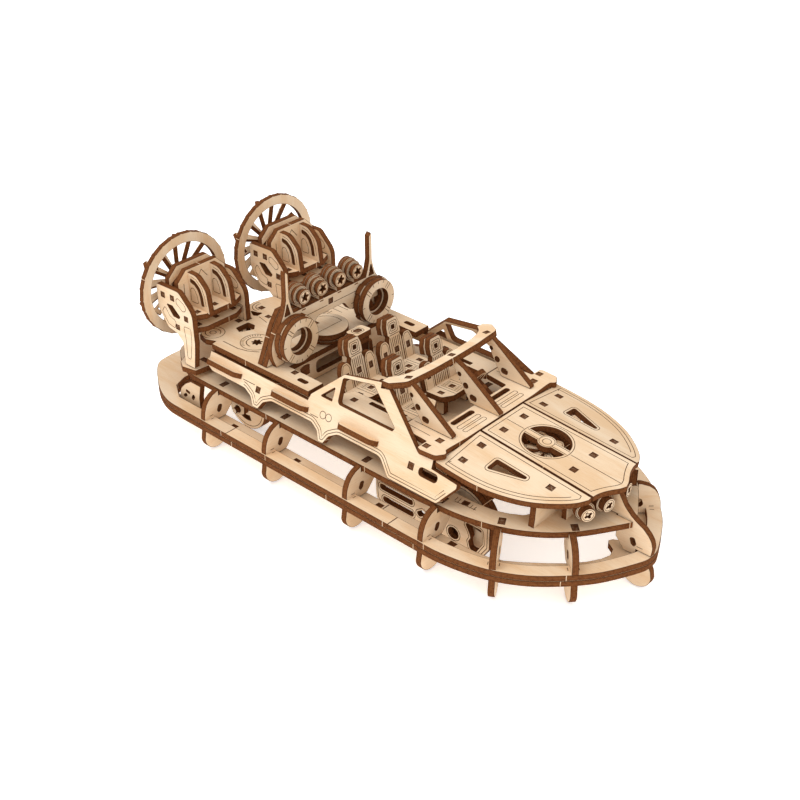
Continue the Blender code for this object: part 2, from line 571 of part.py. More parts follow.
# Searchlights: stacks of discs with square studs, standing on the arch's beam.
LIGHT_Z = 71.2
for k, y in enumerate((-18.3, -6.2, 6.2, 18.3)):
    stack = [drum((-8.6, y, LIGHT_Z), (1, 0, 0), 5.6, 3.4, 16), drum((-5.6, y, LIGHT_Z), (1, 0, 0), 4.9, 3.4, 14),
             drum((-2.6, y, LIGHT_Z), (1, 0, 0), 4.1, 3.25, 12),
             block(-1.1, -0.3, y - 1.2, y + 1.2, LIGHT_Z - 1.2, LIGHT_Z + 1.2)]
    node("searchlight_" + str(k + 1), stack, BIRCH_LIGHT)

# Life rings on the front of the arch.
for s, side in ((-1, "starboard"), (1, "port")):
    node("life_ring_" + side, [drum((1.5, s * 27.2, 53.0), (1, 0, 0), 12.4, 6.6, 32, 6.0)], BIRCH_LIGHT)

# Fan nacelles, the same on both sides, described about their own centre.
SIDE_PLATE = [(-75.0, 65.6), (-58.0, 66.2, 4), (-48.6, 57.0, 8), (-48.2, 40.0), (-50.2, 25.6), (-57.4, 25.6),
              (-57.6, 38.0, 1), (-61.6, 41.6, 2), (-68.4, 42.8, 3), (-75.0, 52.0)]
SIDE_HOLES = [box(-70.4, 60.6, 2.8, 2.8), box(-63.2, 61.0, 2.8, 2.8), box(-53.6, 52.6, 2.8, 2.8),
              box(-60.8, 45.6, 2.8, 2.8), [(-68.0, 56.4), (-63.6, 56.6), (-58.2, 52.2), (-59.2, 50.8), (-63.4, 50.9)]]
FIN = [(-62.6, 53.4), (-62.6, 72.2), (-55.4, 72.0, 4), (-48.8, 66.0, 5), (-47.0, 53.4)]
FIN_SLOT = [(-59.9, 69.0), (-56.6, 68.4), (-53.6, 66.0), (-51.9, 62.0), (-51.2, 57.0), (-52.8, 56.9), (-53.5, 61.2),
            (-54.9, 64.7), (-57.2, 66.6), (-60.0, 67.2)]
CHEVRON = [(-15.3, 68.4), (-9.8, 73.6), (9.8, 73.6), (15.3, 68.4), (15.3, 64.0), (7.0, 69.4), (-7.0, 69.4),
           (-15.3, 64.0)]
BAY = [(-15.3, 44.0), (-15.3, 68.2), (-9.8, 73.6), (9.8, 73.6), (15.3, 68.2), (15.3, 44.0)]
TRAY = [(-62.6, -15.3), (-51.0, -15.3), (-48.4, -9.5), (-48.2, 9.5), (-51.0, 15.3), (-62.6, 15.3)]
BLADES = 14
BLADE_X = -81.0
SHAFT_R = 1.5
LONG_BLADE = 25.0
SHORT_BLADE = 20.8
for s, side, phase in ((-1, "starboard", 142.0), (1, "port", 104.7)):
    cy = s * FAN_Y
    for o, where in ((-17.2, "left"), (17.2, "right")):
        side_plate = plate([rnd(SIDE_PLATE)] + SIDE_HOLES, along(cy + o))
        node("nacelle_side_" + side + "_" + where, [side_plate], BIRCH_LIGHT)
    bay = [plate([[(cy + p[0], p[1]) for p in BAY], circle(cy, FAN_Z, SHAFT_R + 0.4, 12)], cross(-63.3), 2.9)]
    bay += [plate([rnd(FIN), FIN_SLOT], along(cy + o)) for o in (-7.2, 7.2)]
    bay += [plate([[(p[0], cy + p[1]) for p in TRAY]], level(z), 2.9) for z in (52.6, 45.6)]
    node("nacelle_bay_" + side, bay, BIRCH)
    node("nacelle_brace_" + side, [plate([[(cy + p[0], p[1]) for p in CHEVRON]], cross(-70.4))], BIRCH)
    node("fan_ring_" + side, [drum((RING_X, cy, FAN_Z), (1, 0, 0), FAN_R, 2.8, 42, FAN_HOLE_R)], BIRCH)
    centre = (BLADE_X, cy, FAN_Z)
    parts = [drum(centre, (1, 0, 0), 5.0, 6.6, 28), drum((-70.0, cy, FAN_Z), (1, 0, 0), SHAFT_R, 20.0, 12)]
    for i in range(BLADES):
        a = math.radians(phase + 360.0 * i / BLADES)
        d = Vector((0, math.cos(a), math.sin(a)))
        t = Vector((0, -math.sin(a), math.cos(a)))
        w = t * math.cos(math.radians(50)) + Vector((1, 0, 0)) * math.sin(math.radians(50))
        r = SHORT_BLADE if i % 2 else LONG_BLADE
        parts.append(plate([[(4.2, -0.9), (r, -2.3), (r, 2.3), (4.2, 0.9)]], plane(centre, d, w), 2.2))
    node("propeller_" + side, parts, BIRCH_WARM, at=centre)

# Stern platform on two spacers, carrying the nacelle legs.
PLATFORM = [(-79.0, 30.0), (-66.0, 42.0), (-62.0, 49.6), (-57.4, 52.4), (-49.2, 50.6), (-47.6, 40.0)]
platform = plate([PLATFORM + [(p[0], -p[1]) for p in reversed(PLATFORM)]], level(23.6), 2.9)
spacers = [block(-72, -50, s * 36.0 - 3, s * 36.0 + 3, 20.3, 22.8) for s in (-1, 1)]
node("stern_platform", [platform] + spacers, BIRCH)

# Bow lamps under the bonnet nose, each with a stem back to its board.
LAMPS = [  # name, x, y and z of the front face, degrees turned outwards, length of the stem
    ("outer", 168.6, 18.7, 27.0, 30.0, 3.6),
    ("inner", 171.6, 7.6, 27.6, 12.0, 6.5),
]
for s, side in ((-1, "starboard"), (1, "port")):
    for name, x, y, z, turn, stem in LAMPS:
        d = Vector((math.cos(math.radians(turn)), s * math.sin(math.radians(turn)), 0))
        c = Vector((x, s * y, z))
        stack = [drum(c - d * 4.8, d, 4.6, 3.0, 16), drum(c - d * 1.8, d, 3.4, 3.6, 12)]
        stack.append(drum(c - d * (6.1 + stem / 2), d, 3.0, stem, 12))
        node("bow_lamp_" + name + "_" + side, stack, BIRCH)

# Rolling wheels on their axles.
for end, x, z, r, wheel_y, width, length in WHEELS:
    parts = [drum((x, 0, z), (0, 1, 0), AXLE_R, length, 12)]
    for s in (-1, 1):
        parts.append(drum((x, s * wheel_y, z), (0, 1, 0), r, width, 40))
    node("wheels_" + end, parts, BIRCH_WARM, at=(x, 0, z))
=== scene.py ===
# %% [markdown]
# # A laser-cut plywood hovercraft
# The object is a kit model of a rescue hovercraft. Every part of it is a flat plate of birch plywood, cut
# by a laser: pale faces, dark burnt edges, thin engraved lines and square slots with the burnt ends of
# tenons in them. The solid model comes in as a fixed frame. One could model each part freely on top of it,
# but a kit is made of plates alone, so this script cuts plates too: it dresses each solid in them, lights
# them softly and places the camera where the photograph was taken from.

# %% Load the frame
import json
import math

import bmesh
import bpy
import numpy as np
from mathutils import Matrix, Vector
from mathutils.geometry import delaunay_2d_cdt


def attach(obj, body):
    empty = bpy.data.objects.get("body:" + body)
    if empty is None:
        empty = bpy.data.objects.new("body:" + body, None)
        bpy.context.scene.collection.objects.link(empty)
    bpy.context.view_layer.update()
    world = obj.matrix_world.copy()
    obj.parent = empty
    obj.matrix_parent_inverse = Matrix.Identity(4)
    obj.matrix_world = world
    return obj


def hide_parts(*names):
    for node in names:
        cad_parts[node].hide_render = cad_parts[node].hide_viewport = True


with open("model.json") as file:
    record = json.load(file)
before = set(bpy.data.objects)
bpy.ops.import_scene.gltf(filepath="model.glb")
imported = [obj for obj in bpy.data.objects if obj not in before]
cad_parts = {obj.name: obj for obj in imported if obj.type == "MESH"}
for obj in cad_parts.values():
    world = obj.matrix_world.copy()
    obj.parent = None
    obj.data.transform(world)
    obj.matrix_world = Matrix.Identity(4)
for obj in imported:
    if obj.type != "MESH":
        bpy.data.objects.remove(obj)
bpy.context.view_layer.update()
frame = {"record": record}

# %% [markdown]
# ## One shared set of coordinates
# The outlines below are written in millimetres with X towards the bow, Y to port and Z up from the
# underside of the lower ring, because that is how the plates were measured. The frame has its origin on the
# floor under the middle of the model and counts in metres, so one shift and one factor bring every plate
# into place. A plate itself is drawn flat, with two coordinates, and a place says where its sheet lies:
# level, across or along.

# %% Coordinates and ply
MM = 0.001
SHIFT = np.array([-47.25, 0.0, 13.4])  # from the plates' zero to the frame's origin, in mm
PLY = 3.0
AHEAD = (1, 0, 0)
PORT = (0, 1, 0)
UP = (0, 0, 1)
DOWN = (0, 0, -1)


def plane(origin, u, v):
    """Place of a plate: its first axis along u, its second in the plane of u and v, its third through it."""
    u = np.asarray(u, float) / np.linalg.norm(u)
    w = np.cross(u, v)
    w = w / np.linalg.norm(w)
    return np.array([u, np.cross(w, u), w, origin], float)


def level(z):
    """Place of a plate that lies flat at the height z."""
    return plane((0, 0, z), AHEAD, PORT)


def across(x):
    """Place of a plate that stands across the hull at the station x."""
    return plane((x, 0, 0), PORT, UP)


def along(y):
    """Place of a plate that stands along the hull at the distance y from its middle."""
    return plane((0, y, 0), AHEAD, UP)


print("plates are", PLY, "mm thick; their zero lies at", (SHIFT * MM).round(5).tolist(), "m in the frame")

# %% [markdown]
# ## Outlines
# A laser follows a path, so a plate starts as a closed line. One could draw curves by hand and convert
# them, but a list of measured corners is easier to check. Corners with a radius are filleted with short
# chords, hull curves go through a few measured points on a smooth spline, and round holes are circles.

# %% Corners and curves
STRAIGHT = 0.02  # radians off shut or off straight, below which a corner isn't rounded


def thin(loop, gap=0.05):
    """Closed outline without points that nearly repeat the one before."""
    loop = np.asarray(loop, float)
    return loop[np.linalg.norm(loop - np.roll(loop, 1, 0), axis=1) > gap]


def fillet(points, step=12.0):
    """Each corner (u, v, radius) becomes an arc: its centre lies on the corner's bisector, radius over the sine
    of half the corner's angle away, and the chords turn through the rest of a half circle."""
    out = []
    n = len(points)
    for i, corner in enumerate(points):
        p = np.array(corner[:2], float)
        r = corner[2] if len(corner) > 2 else 0.0
        a = np.array(points[i - 1][:2], float) - p
        b = np.array(points[(i + 1) % n][:2], float) - p
        a, b = a / np.linalg.norm(a), b / np.linalg.norm(b)
        half = math.acos(max(-1.0, min(1.0, float(a @ b)))) / 2
        if r <= 0 or half < STRAIGHT or half > math.pi / 2 - STRAIGHT:
            out.append(p[None])
            continue
        c = p + (a + b) / np.linalg.norm(a + b) * (r / math.sin(half))
        s = p + a * (r / math.tan(half)) - c
        e = p + b * (r / math.tan(half)) - c
        sweep = math.pi - 2 * half
        t = np.linspace(0, sweep, max(2, int(math.degrees(sweep) / step) + 1) + 1)
        t = t if s[0] * e[1] - s[1] * e[0] > 0 else -t
        u = c[0] + s[0] * np.cos(t) - s[1] * np.sin(t)
        v = c[1] + s[0] * np.sin(t) + s[1] * np.cos(t)
        out.append(np.stack([u, v], 1))
    return thin(np.concatenate(out))


def smooth(points, sub=8):
    """Open curve through the points: a Catmull-Rom cubic between each pair, whose slope at a point is half the
    way from the neighbour before to the neighbour after."""
    p = np.array(points, float)
    p = np.concatenate([2 * p[:1] - p[1:2], p, 2 * p[-1:] - p[-2:-1]])
    t = (np.arange(sub) / sub)[None, :, None]
    p0, p1, p2, p3 = (p[k:len(p) - 3 + k, None, :] for k in range(4))
    square = (2 * p0 - 5 * p1 + 4 * p2 - p3) * t ** 2
    cube = (3 * p1 - p0 - 3 * p2 + p3) * t ** 3
    q = 0.5 * (2 * p1 + (p2 - p0) * t + square + cube)
    return np.concatenate([q.reshape(-1, 2), p[-2:-1]])


def circle(cu, cv, r, n=48):
    """Points at equal angles, at the distance r from the centre."""
    t = np.linspace(0, 2 * np.pi, n, endpoint=False)
    return np.stack([cu + r * np.cos(t), cv + r * np.sin(t)], 1)


def arc(cu, cv, r, a0, a1, step=8.0):
    """The part of a circle between two angles in degrees."""
    t = np.radians(np.linspace(a0, a1, max(2, int(abs(a1 - a0) / step) + 1) + 1))
    return np.stack([cu + r * np.cos(t), cv + r * np.sin(t)], 1)


print("a rounded corner has", len(fillet([(0, 0, 3), (9, 0), (9, 9)])) - 2, "points")

# %% [markdown]
# Slots, tenons and mirrored halves come back all the time, so each has a helper. The most used is an
# outline moved inwards by a fixed distance: it makes the burnt edge, the halo and every line that follows a
# cut. A scaled outline would be simpler, but it isn't at the same distance everywhere.

# %% Boxes, mirrors and offsets
ROUND_END = 0.46  # corner radius of an oblong slot, as a share of its width
ON_AXIS = 1e-6
MITRE = 0.5  # how sharp a corner may be before its slide along the bisector is held back


def box(cu, cv, w, h, turn=0.0, r=0.0):
    """Rectangle about its centre, turned by some degrees, its corners rounded by r."""
    c, s = math.cos(math.radians(turn)), math.sin(math.radians(turn))
    pts = [(-w / 2, -h / 2), (w / 2, -h / 2), (w / 2, h / 2), (-w / 2, h / 2)]
    return fillet([(cu + a * c - b * s, cv + a * s + b * c, r) for a, b in pts])


def oblong(cu, cv, length, width, turn=0.0):
    """Slot with round ends."""
    return box(cu, cv, length, width, turn, width * ROUND_END)


def mirrored(half, axis=1):
    """Half outline closed by its mirror image, in the second coordinate or, with axis 0, in the first."""
    half = np.asarray(half, float)
    back = half[::-1][np.abs(half[::-1, axis]) > ON_AXIS].copy()
    back[:, axis] *= -1
    return np.concatenate([half, back])


def flipped(loop, axis=1):
    """The outline's mirror image, its points in the same order."""
    loop = np.array(loop, float)
    loop[:, axis] *= -1
    return loop


def both(half, axis=1):
    """Closed outline from a half that still has its corner radii, and the mirror image of that half."""
    back = [tuple(-c if k == axis else c for k, c in enumerate(p)) for p in reversed(half)]
    return fillet(list(half) + back)


def offset(loop, d):
    """Closed outline with each edge moved d to the left of its travel. A corner slides along its bisector, by d
    over the cosine of half the turn there."""
    p = np.asarray(loop, float)
    e = np.roll(p, -1, 0) - p
    e /= np.maximum(np.linalg.norm(e, axis=1), 1e-9)[:, None]
    n = np.stack([-e[:, 1], e[:, 0]], 1)
    m = n + np.roll(n, 1, 0)
    m /= np.maximum((m * n).sum(1), MITRE)[:, None]
    return p + m * d


def scaled(loop, k, about=(0.0, 0.0)):
    """The outline grown or shrunk by a factor about a point."""
    return (np.asarray(loop, float) - about) * k + about


def wound(loop, ccw=True):
    """Outline that runs anticlockwise, or clockwise for a hole, by the sign of its area."""
    p = np.asarray(loop, float)
    area = np.sum(p[:, 0] * np.roll(p[:, 1], -1) - np.roll(p[:, 0], -1) * p[:, 1])
    return p if (area > 0) == ccw else p[::-1]


print("a 10 mm box moved in by 1 mm is", np.ptp(offset(box(0, 0, 10, 10), 1.0), axis=0).round(3).tolist(), "mm")

# %% [markdown]
# ## A face with its holes and lines
# A plain extruded outline would look like plastic. A real plate has a crisp face with a brown halo along
# each cut, and engraved lines that are shallow burnt grooves. One could cut those with a boolean for each
# line, but that is slow and breaks easily. Here the face is filled in once, as triangles that keep every
# line of the outline, the halo and the grooves as an edge, and the triangles between a groove's two lines
# are sunk.

# %% Filling in a face
WELD_2D = 1e-5
SAME_POINT = 2000  # points in mm times this, rounded, are equal within a quarter of a micrometre


def groove(path, width=0.42, closed=False):
    """Outline of a line: the path moved half its width to each side. A closed path gives two loops."""
    p = np.asarray(path, float)
    if closed:
        p = wound(p)
        return [offset(p, width / 2), offset(p, -width / 2)]
    e = np.diff(p, axis=0)
    e /= np.linalg.norm(e, axis=1)[:, None]
    e = np.concatenate([e[:1], e, e[-1:]])
    n = np.stack([-e[:, 1], e[:, 0]], 1)
    m = n[:-1] + n[1:]
    m /= np.maximum((m * n[1:]).sum(1), MITRE)[:, None]
    return [np.concatenate([p + m * width / 2, (p - m * width / 2)[::-1]])]


def inside(q, loops):
    """True for points whose way to the right crosses the loops an odd number of times."""
    odd = np.zeros(len(q), bool)
    for loop in loops:
        a, b = loop[None], np.roll(loop, -1, 0)[None]
        y = q[:, 1, None]
        rise = np.where(np.abs(b[..., 1] - a[..., 1]) < 1e-12, 1e-12, b[..., 1] - a[..., 1])
        x = a[..., 0] + (y - a[..., 1]) / rise * (b[..., 0] - a[..., 0])
        odd ^= (((a[..., 1] > y) != (b[..., 1] > y)) & (q[:, 0, None] < x)).sum(1) % 2 == 1
    return odd


def flat_face(edges, halos, grooves):
    """Triangles of a face by constrained Delaunay: one is kept where its middle lies in the outline and out of
    the holes, and is sunk where its middle lies in a groove."""
    loops = list(edges) + list(halos) + [g for group in grooves for g in group]
    pts = np.concatenate(loops)
    pairs, start = [], 0
    for loop in loops:
        i = np.arange(len(loop))
        pairs.append(np.stack([start + i, start + np.roll(i, -1)], 1))
        start += len(loop)
    sides = np.concatenate(pairs).tolist()
    verts, _, tris, *_ = delaunay_2d_cdt([Vector(p) for p in pts], sides, [], 0, WELD_2D)
    verts = np.array([tuple(v) for v in verts])
    tris = np.array([t for t in tris if len(t) == 3])
    tris = tris[inside(verts[tris].mean(1), edges)]
    middle = verts[tris].mean(1)
    sunk = np.zeros(len(tris), bool)
    for group in grooves:
        sunk |= inside(middle, group)
    return verts, tris, sunk


def repeats(points, others):
    """True for each point that is also one of the others."""
    keys = [np.round(p * SAME_POINT).astype(np.int64) @ (10 ** 9, 1) for p in (points, others)]
    return np.isin(keys[0], keys[1])


trial_edge = wound(box(0, 0, 20, 10))
trial = flat_face([trial_edge], [offset(trial_edge, 1.0)], [groove([(-6, 0), (6, 0)])])
print("a plate with one engraved line:", len(trial[1]), "triangles,", int(trial[2].sum()), "of them sunk")

# %% [markdown]
# ## The burnt edge and its bridges
# The beam rounds a cut's corner off by about a tenth of a millimetre, so the edge is a small profile that
# is carried round each outline. Plates hang in their sheet by little bridges, and where one is snapped off
# the edge stays pale. A bevel modifier could round the corner, but only the profile knows which faces are
# burnt.

# %% Edge and faces of a plate
EDGE = [(0.12, 0.0), (0.035, 0.035), (0.0, 0.12)]  # how far in from the cut, how far below the face
HALO = 0.45
GROOVE_DEPTH = 0.16
BRIDGE_BURN = 0.45
FIRST_BRIDGE = 0.37  # where on the outline the first bridge sits, as a share of the distance between two


def nibbed(loop, every=64.0, half=0.15):
    """Closed outline with a short side put in at even distances, and True for each such side: there the plate
    hung in its sheet by a bridge. A side that would be shorter than a fiftieth of a millimetre is left out."""
    step = np.linalg.norm(np.roll(loop, -1, 0) - loop, axis=1)
    n = int(step.sum() / every)
    if n < 1:
        return loop, np.zeros(len(loop), bool)
    marks = (np.arange(n) + FIRST_BRIDGE) * step.sum() / n
    along_loop = np.concatenate([[0], np.cumsum(step)])
    at = np.unique(np.concatenate([along_loop[:-1], marks - half, marks + half]))
    at = at[np.diff(at, prepend=-1) > 0.02]
    shut = np.concatenate([loop, loop[:1]])
    out = np.stack([np.interp(at, along_loop, shut[:, k]) for k in (0, 1)], 1)
    middle = (at + np.append(at[1:], step.sum())) / 2
    return out, (np.abs(middle[:, None] - marks) < half).any(1)


def cut_edge(loops, bridges, t):
    """The grid edge(s, k): the outline at s moved in by the profile's k-th step and lifted to its k-th height,
    down one side of the thickness t and up the other. Gives points, faces and the burn of each face corner."""
    rows = [(i, t / 2 - d) for i, d in EDGE] + [(i, d - t / 2) for i, d in reversed(EDGE)]
    points, faces, burns, count = [], [], [], 0
    for loop, bridge in zip(loops, bridges):
        points += [np.column_stack([offset(loop, i), np.full(len(loop), w)]) for i, w in rows]
        n = len(loop)
        k, i = (a.ravel() for a in np.meshgrid(np.arange(len(rows) - 1), np.arange(n), indexing="ij"))
        j = (i + 1) % n
        faces.append(np.stack([k * n + i, (k + 1) * n + i, (k + 1) * n + j, k * n + j], 1) + count)
        burns.append(np.where(bridge[i], BRIDGE_BURN, 1.0)[:, None] * np.ones(4))
        count += len(rows) * n
    return points, faces, burns


def directed(tris):
    """The three directed sides of each triangle."""
    return np.concatenate([tris[:, [0, 1]], tris[:, [1, 2]], tris[:, [2, 0]]])


def engraved_face(loops, grooves, side, t, count):
    """One face at half the thickness: its triangles flat or, in a groove, lowered by the groove's depth, and an
    upright bank wherever a flat triangle meets a lowered one. The plate has count points before it."""
    rim = [offset(loop, EDGE[0][0]) for loop in loops]
    verts, tris, sunk = flat_face(rim, [offset(loop, HALO) for loop in loops], grooves)
    high = np.column_stack([verts, np.full(len(verts), side * t / 2)])
    low = high - np.array([0, 0, side * GROOVE_DEPTH])
    charred = repeats(verts, np.concatenate(rim))
    faces = [tris + count + np.where(sunk, len(high), 0)[:, None]]
    burns = [np.where(sunk[:, None], 1.0, charred[tris].astype(float))]
    if sunk.any():
        key = (len(verts) + 1, 1)
        shores = directed(tris[~sunk])
        shores = shores[np.isin(shores @ key, directed(tris[sunk])[:, ::-1] @ key)]
        a, b = shores.T + count
        faces.append(np.stack([a, a + len(high), b + len(high), b], 1))
        burns.append(np.ones((len(a), 4)))
    if side < 0:
        faces = [f[:, ::-1] for f in faces]
        burns = [b[:, ::-1] for b in burns]
    return [high, low], faces, burns


print("an outline of 256 mm hangs by", int(nibbed(box(0, 0, 64, 64))[1].sum()), "bridges")

# %% [markdown]
# ## A laser-cut plate
# Now a plate is its edge and two faces. Tenons of one plate come through slots in another, and what one
# sees is a burnt end a little below the face: it is a small plate of its own in the slot. Each face corner
# remembers how burnt it is and where it lies in its own plate, which the wood shader reads, and each plate
# has a tone, because no two come from the same spot of the sheet.

# %% Plate maker
GOLDEN = 0.618034  # the share of a turn whose steps never come back to the same tone
PEG_SINK = 0.25
PEG_GAP = 0.07
PEG_BURN = 0.93
plates_made = [0]


def ply(outline, holes=(), place=None, t=PLY, top=(), under=(), pegs=()):
    """One plate: its cut edge, and its two faces half the thickness t up and down, with grooves in them.
    Pegs are slots with the burnt end of another plate's tenon in them, sunk a little below the face."""
    plates_made[0] += 1
    tone = math.modf(plates_made[0] * GOLDEN)[0]
    place = level(0.0) if place is None else place
    loops = [wound(outline)] + [wound(h, False) for h in list(holes) + list(pegs)]
    loops, bridges = zip(*[nibbed(loop) for loop in loops])
    points, faces, burns = cut_edge(loops, bridges, t)
    for side, grooves in ((1, top), (-1, under)):
        more = engraved_face(loops, grooves, side, t, sum(len(p) for p in points))
        points, faces, burns = points + more[0], faces + more[1], burns + more[2]
    local = np.concatenate(points)
    world = (place[3] + local @ place[:3] + SHIFT) * MM
    plate = {"world": world, "local": local, "faces": faces, "burns": burns, "tone": tone}
    for slot in pegs:
        end = ply(offset(wound(slot), PEG_GAP), (), place, t - 2 * PEG_SINK)
        count = len(plate["world"])
        plate["faces"] += [f + count for f in end["faces"]]
        plate["burns"] += [np.full_like(b, PEG_BURN) for b in end["burns"]]
        for key in ("world", "local"):
            plate[key] = np.concatenate([plate[key], end[key]])
    return plate


def drum(centre, axis, r, length, holes=(), n=48, top=(), under=(), pegs=()):
    """Round plate about an axis, its top towards the axis' end."""
    w = np.asarray(axis, float) / np.linalg.norm(axis)
    u = np.cross(PORT if abs(w[1]) < 0.9 else UP, w)
    return ply(circle(0, 0, r, n), holes, plane(centre, u, np.cross(w, u)), length, top, under, pegs)


def block(x0, x1, y0, y1, z0, z1):
    """Box between two corners, laid as a plate of its own height."""
    return ply([(x0, y0), (x1, y0), (x1, y1), (x0, y1)], (), level((z0 + z1) / 2), z1 - z0)


print("profile of the cut:", len(EDGE), "steps, tenon ends", PEG_SINK, "mm below the face")

# %% [markdown]
# ## From plates to pieces
# On the model several plates are glued into one piece, and the frame has one solid for each. All plates of
# a solid become one mesh, with their notes on every face corner: how burnt it is, its place in the plate,
# and the plate's tone. Separate objects would do as well, but one mesh per solid keeps the scene as tidy as
# the frame. The piece rides on the body its solid belongs to, and stands for that solid.

# %% Piece maker
WELD = 2e-7
CREASE = 20.0  # degrees between two faces, from which their shared edge is drawn sharp
BODY_OF = {n: b for b, nodes in frame["record"]["behaviour"]["bodies"].items() for n in nodes}
pieces = {}


def piece(node, plates):
    """One mesh of all the plates, welded where their points meet, standing for the solid of that name."""
    world, faces, burn, local, tone, count = [], [], [], [], [], 0
    for p in plates:
        world.append(p["world"])
        for f, b in zip(p["faces"], p["burns"]):
            faces += (f + count).tolist()
            burn.append(b.ravel())
            local.append(p["local"][f.ravel()] * MM)
            tone.append(np.full(f.size, p["tone"]))
        count += len(p["world"])
    mesh = bpy.data.meshes.new(node + ".birch")
    mesh.from_pydata(np.concatenate(world).tolist(), [], faces)
    for key, kind, field, values in (("burn", "FLOAT", "value", burn), ("tone", "FLOAT", "value", tone),
                                     ("plate", "FLOAT_VECTOR", "vector", local)):
        layer = mesh.attributes.new(key, kind, "CORNER")
        layer.data.foreach_set(field, np.concatenate(values).astype(np.float32).ravel())
    weld = bmesh.new()
    weld.from_mesh(mesh)
    bmesh.ops.remove_doubles(weld, verts=weld.verts, dist=WELD)
    loose = [v for v in weld.verts if not v.link_faces]
    bmesh.ops.delete(weld, geom=loose, context="VERTS")
    weld.to_mesh(mesh)
    weld.free()
    mesh.polygons.foreach_set("use_smooth", np.ones(len(mesh.polygons), bool))
    mesh.set_sharp_from_angle(angle=math.radians(CREASE))
    obj = bpy.data.objects.new(mesh.name, mesh)
    bpy.context.scene.collection.objects.link(obj)
    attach(obj, BODY_OF[node])
    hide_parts(node)
    mesh.materials.append(BIRCH)
    pieces[node] = obj
    print(node + ": plates", len(plates), "faces", len(mesh.polygons))


print("solids that move:", sum(body != "hull" for body in BODY_OF.values()), "of", len(BODY_OF))

# %% [markdown]
# ## Birch and burnt edges
# Birch ply is pale and fine: long soft fibres with a slow drift in colour and short darker flecks. A
# photograph of wood wrapped round the plates could show that, but it would repeat and stretch. Noise that
# is pulled out long in the plate's own first axis gives each plate its own grain, along its length. One
# group of nodes makes the grain, so that the birch material below stays readable.

# %% Wood grain group
def new_group(name, inputs, outputs):
    """Node group with the named sockets, and its input and output nodes."""
    group = bpy.data.node_groups.new(name, "ShaderNodeTree")
    for label, kind in inputs:
        group.interface.new_socket(label, in_out="INPUT", socket_type=kind)
    for label, kind in outputs:
        group.interface.new_socket(label, in_out="OUTPUT", socket_type=kind)
    return group, group.nodes.new("NodeGroupInput"), group.nodes.new("NodeGroupOutput")


def add(tree, kind, links=(), **settings):
    """One node with its settings, its inputs linked or set in order of (socket, value)."""
    node = tree.nodes.new("ShaderNode" + kind)
    for key, value in settings.items():
        setattr(node, key, value)
    for socket, value in links:
        target = node.inputs[socket]
        if isinstance(value, bpy.types.NodeSocket):
            tree.links.new(value, target)
        else:
            target.default_value = value
    return node


def mix_colour(tree, factor, a, b, blend="MIX"):
    """Colour a where the factor is 0 and b where it is 1."""
    node = add(tree, "Mix", [(0, factor), (6, a), (7, b)], data_type="RGBA", blend_type=blend)
    return node.outputs[2]


def remap(tree, value, lo, hi, to_lo=0.0, to_hi=1.0):
    """The value taken from the span lo to hi onto the span to_lo to to_hi, with soft ends."""
    spans = [(0, value), (1, lo), (2, hi), (3, to_lo), (4, to_hi)]
    return add(tree, "MapRange", spans, interpolation_type="SMOOTHSTEP").outputs[0]


def maths(tree, operation, a, b=0.0):
    """One step of arithmetic."""
    return add(tree, "Math", [(0, a), (1, b)], operation=operation).outputs[0]


def stretched_noise(tree, at, per_metre, **inputs):
    """Noise whose axes are multiplied first: so many waves to the metre along and across the grain."""
    pulled = add(tree, "VectorMath", [(0, at), (1, per_metre)], operation="MULTIPLY").outputs[0]
    settings = [("Vector", pulled), ("Scale", 1.0)] + [(key.title(), value) for key, value in inputs.items()]
    return add(tree, "TexNoise", settings).outputs[0]


SPOT_ON_SHEET = (0.7, 0.31, 0.13)  # how far a plate's tone moves it about the sheet, in metres
DRIFT_SHARE = 0.62
FIBRE_SHARE = 0.38
grain, g_in, g_out = new_group(
    "birch_grain", [("Plate", "NodeSocketVector"), ("Tone", "NodeSocketFloat")],
    [("Light", "NodeSocketFloat"), ("Fleck", "NodeSocketFloat"), ("Height", "NodeSocketFloat")])
tone_in = [(0, g_in.outputs["Tone"]), (1, SPOT_ON_SHEET)]
apart = add(grain, "VectorMath", tone_in, operation="MULTIPLY").outputs[0]
spot = add(grain, "VectorMath", [(0, g_in.outputs["Plate"]), (1, apart)], operation="ADD").outputs[0]
drift = stretched_noise(grain, spot, (22.0, 90.0, 90.0), detail=3.0, distortion=0.6)
fibres = stretched_noise(grain, spot, (110.0, 2600.0, 2600.0), detail=4.0, roughness=0.62)
flecks = stretched_noise(grain, spot, (420.0, 3400.0, 3400.0), detail=1.0)
drift_part = maths(grain, "MULTIPLY", drift, DRIFT_SHARE)
light = maths(grain, "ADD", drift_part, maths(grain, "MULTIPLY", fibres, FIBRE_SHARE))
grain.links.new(light, g_out.inputs["Light"])
grain.links.new(remap(grain, flecks, 0.64, 0.76), g_out.inputs["Fleck"])
grain.links.new(fibres, g_out.inputs["Height"])
print("grain group:", len(grain.nodes), "nodes")

# %% [markdown]
# The wood itself is one material for every plate. A second material for the cuts would need its own faces
# and a hard border, but a burn fades. So the burnt share comes from the face corners: one on a cut and in a
# groove, falling to nothing across the halo. A smoke-like noise makes the halo uneven, and the ply's glue
# lines are bands in the plate's third coordinate, which the laser leaves a little darker, as it does the
# edge's two rims.

# %% Birch material
PALE = (0.775, 0.598, 0.414, 1)
WARM = (0.70, 0.475, 0.278, 1)
BURNT = (0.175, 0.062, 0.020, 1)
SCORCHED = (0.055, 0.017, 0.006, 1)
FLECK = (0.42, 0.24, 0.10, 1)
FLECK_SHARE = 0.28
GLUE_SHARE = 0.35
GLUE_LINE = 0.00052  # height of the two glue lines over and under a plate's middle, in metres
SOOT_SCALE = 900.0
FIBRE_BUMP = 0.00006


